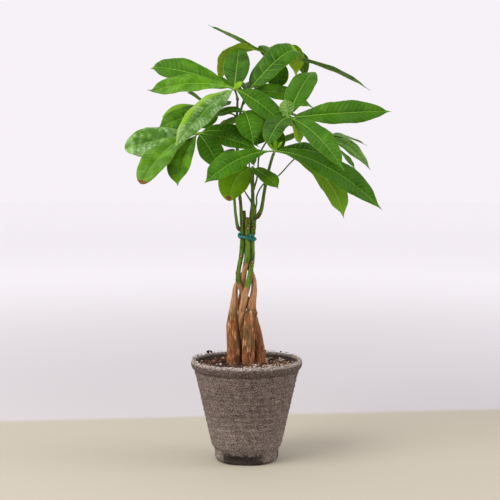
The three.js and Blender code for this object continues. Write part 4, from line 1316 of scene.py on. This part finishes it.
def liftAt(blade, t, u, half, phase):  # how high the blade stands at a spot: its fold, waves, arch and veins
    side, seed, along = abs(u), blade["seed"], t * blade["length"]
    between = 1 - (2 * abs(phase % 1 - 0.5)) ** 2.4
    sink = blade["pucker"] * between * smooth(0, 0.28, side) * (1 - 0.7 * smooth(0.7, 1, side))
    sink *= smooth(0.05, 0.2, t) * (1 - smooth(0.85, 1, t)) * (half / 15)
    sink *= 0.8 + 0.9 * grainAt(math.floor(phase) * 5.3, seed, 9 if u < 0 else 2, 3)
    sink += blade["crinkle"] * grainAt(along, seed + 60, u * half, 7) * smooth(0.05, 0.2, t)
    turn = 0.37 * blade["index"] + (0.4 if u > 0 else 0)
    wave = blade["wave"] * side ** 1.6 * math.sin(2 * math.pi * (blade["waves"] * t + turn))
    wave += 0.5 * side ** 2 * grainAt(along, seed + 30, u * 4, 8)
    arch = bladeLook["arch"] * half * (side - side * side) * 2
    return half * side * math.sin(blade["fold"]) + wave + arch + sink


def paintAt(blade, t, u):  # the tint mark: shade, yellow and brown
    brown = blade["brown"] * smooth(0.94, 0.975, t)
    brown += 0.3 * blade["brown"] * smooth(0.92, 0.96, t) * smooth(0.6, 1, abs(u))
    if blade["spot"]:
        spotT, spotU = blade["spot"]
        brown += 1.3 * math.exp(-(((t - spotT) / 0.055) ** 2 + ((u - spotU) / 0.6) ** 2))
    edge = smooth(0.25, 0.8, u * blade["goldSide"])
    tip = smooth(blade["goldEnd"], blade["goldEnd"] + 0.12, t)
    return blade["shade"], blade["gold"] + 0.7 * max(edge, tip), brown


def bladePoints(shape, blade, t0, u):  # one point on the upper side and one on the lower
    side = abs(u)
    t = t0 + (0.03 * side + 0.06 * side * side) * 4 * t0 * (1 - t0)
    point, tangent, across, up = blade["rib"](t)
    half, phase = halfAt(blade, t, u), blade["veins"] * t0 + (0.5 if u < 0 else 0)
    high = smooth(1.2, 4, half) * liftAt(blade, t, u, half, phase)
    curl = blade["hook"] * smooth(0.88, 1.0, t) ** 2
    place = point + across * (half * u * math.cos(blade["fold"])) + up * high
    place += up * curl - tangent * abs(curl) * 0.5
    flat = smooth(0.04, 0.15, t)
    stalk = bladeLook["stalk"] * math.sqrt(max(0, 1 - side * side))
    thick = blendOf(stalk, bladeLook["thick"] / 2 * (1 - 0.5 * side ** 3), flat)
    ridge = math.exp(-((side * half / 0.8) ** 2)) * flat * (1 - t)
    off = side * half / blendOf(0.6, 0.2, t0)
    pair = []
    for face, ridged, under in ((1, 0.12, 0), (-1, 0.75, 1)):
        skin = place + up * (face * (thick + ridged * ridge))
        grain = (phase, blade["gloss"], under)
        pair.append(addPoint(shape, skin, (blade["bands"], u, off), grain, paintAt(blade, t0, u)))
    return pair


def addBlade(shape, hub, look, index, draw):
    rib, small = ribOf(hub, look), 0.2 if look["width"] < 8 else 1
    length, seed = ribLength(rib), draw.uniform(0, 100)
    blade = {
        **look, "rib": rib, "length": length, "seed": seed, "index": index,
        "fold": math.radians(look["fold"]), "waves": max(1, length / bladeLook["waveEvery"]),
        "veins": max(6, round(length / look["veinEvery"])),
        "pucker": look["pucker"] * small, "crinkle": look["crinkle"] * small,
        "shade": look["shade"] + draw.uniform(-0.05, 0.05),
    }
    columns = [-c for c in bladeLook["columns"][:0:-1]] + list(bladeLook["columns"])
    rows = blade["veins"] * bladeLook["rowsPerVein"]
    upper, lower = [], []
    for row in range(rows + 1):
        pairs = [bladePoints(shape, blade, row / rows, u) for u in columns]
        upper.append([pair[0] for pair in pairs])
        lower.append([pair[1] for pair in pairs])
    addRows(shape, upper, flip=True)
    addRows(shape, lower)
    for column in (0, -1):  # the two long edges
        top, low = [line[column] for line in upper], [line[column] for line in lower]
        addRows(shape, [top, low] if column else [low, top])
    for row in (0, -1):  # the hub end and the tip
        top, low = upper[row], lower[row]
        addRows(shape, [low, top] if row else [top, low])


def addHub(shape, hub, radius):
    start = len(shape["points"])
    for corner in lumpCorners:
        push = 1 + 0.12 * noise.noise(corner * 2 + hub)
        addPoint(shape, hub + corner * radius * push, (0, 0, radius), (1, 0.8, 0.3))
    for face in lumpFaces:
        addFace(shape, tuple(start + i for i in face), finish=1)


def addPetiole(shape, name, stations, seed):
    last, woody = len(stations) - 1, bladeLook["woodyBend"].get(name, (0, 0.25))

    def swollen(ring, angle):  # a petiole is stouter at both its ends
        lumps = 0.5 * bump(ring["s"], *woody) * (1 + ringGrain(angle, 1, ring["length"], size=1.5))
        return 0.3 * bump(ring["s"], 0, 0.5) + 0.3 * bump(ring["s"], last, 0.35) + lumps

    def marks(ring, angle):
        green = 1 - smooth(0.3, 0.7, bump(ring["s"], *woody))
        return (green, 0.5 * bump(ring["s"], last, 0.3), seed), (0, 0, 0)
    addLimb(shape, stations, 8, 12, swollen, marks, finish=1)


def buildLeaf(name):
    shape, draw = newShape(), random.Random(name)
    hub = Vector(petioles[name][-1][:3])
    addPetiole(shape, name, petioles[name], draw.random())
    addHub(shape, hub, bladeLook["hub"])
    for index, look in enumerate(leaflets[name]):
        addBlade(shape, hub, look, index, draw)
    makePiece(name.replace("leaf_", "frond_"), shape, [leafBlade, leafStalk], [name])


for name in leaflets:
    buildLeaf(name)
print("leaves made")


# floor, light and camera, in metres
studio = {
    "table": colour(178, 172, 156), "pale": colour(188, 186, 187), "far": (0.97, 0.97, 0.97, 1),
    "floorSize": 14,
    "back": (-0.118, 1, 0), "edge": (0.235, 0.262),  # which way the table's far edge lies, and how far off
    "rim": (0.8, 1.7), "fade": (0.3, 2.4), "end": (2.4, 6),  # where the table ends elsewhere, and fades
    "sky": (0.93, 0.885, 0.935, 1), "skyStrength": 1.0,
    "camera": (0.004, -1.5, 0.367), "pitch": 4.57, "lens": 93.1, "sensor": 36,
    "aim": (0, 0, 0.26),  # the spot that the lights look at
    "lights": [
        {"name": "keyLight", "at": (-1.25, -1.0, 1.5), "size": 1.5, "power": 37, "tint": (1.0, 0.98, 0.95)},
        {"name": "sideLight", "at": (1.6, -0.2, 0.9), "size": 1.0, "power": 10, "tint": (1.0, 0.97, 0.94)},
    ],
}


def floorInputs(tree):  # a table, with an edge behind the plant, that fades into the room
    where = whereOf(tree)
    reach = put(tree, "VectorMath", {0: where}, operation="LENGTH").outputs["Value"]
    behind = put(tree, "VectorMath", {0: where, 1: studio["back"]}, operation="DOT_PRODUCT").outputs["Value"]
    leave = maths("MAXIMUM", rangeOf(behind, *studio["edge"]), rangeOf(reach, *studio["rim"]))
    off = plus(rangeOf(reach, *studio["fade"], 0.0, 0.85), rangeOf(reach, *studio["end"], 0.0, 0.15))
    ground = mixed(leave, studio["table"], mixed(off, studio["pale"], studio["far"]))
    return {"Base Color": ground, "Roughness": 0.85, "Specular IOR Level": 0.05}


def addLamp(lamp):
    data = bpy.data.lights.new(lamp["name"], "AREA")
    data.shape, data.size, data.energy, data.color = "DISK", lamp["size"], lamp["power"], lamp["tint"]
    light = addObject(lamp["name"], data, lamp["at"])
    light.rotation_euler = (Vector(studio["aim"]) - light.location).to_track_quat("-Z", "Y").to_euler()


def buildStage():
    scene, half = bpy.context.scene, studio["floorSize"] / 2
    corners = [(-half, -half, 0), (half, -half, 0), (half, half, 0), (-half, half, 0)]
    floor = addObject("studioFloor", meshOf("studioFloor", {"points": corners, "faces": [(0, 1, 2, 3)]}))
    floor.data.materials.append(shaded("plainFloor", floorInputs))
    scene.world = bpy.data.worlds.new("softRoom")
    scene.world.use_nodes = True
    sky = scene.world.node_tree.nodes["Background"].inputs
    sky["Color"].default_value, sky["Strength"].default_value = studio["sky"], studio["skyStrength"]
    for lamp in studio["lights"]:
        addLamp(lamp)
    scene.camera = addObject("photoCamera", bpy.data.cameras.new("photoCamera"), studio["camera"])
    scene.camera.data.lens, scene.camera.data.sensor_width = studio["lens"], studio["sensor"]
    scene.camera.rotation_euler = (math.radians(90 - studio["pitch"]), 0, 0)
    scene.view_settings.view_transform = "Standard"


buildStage()
print("stage made")
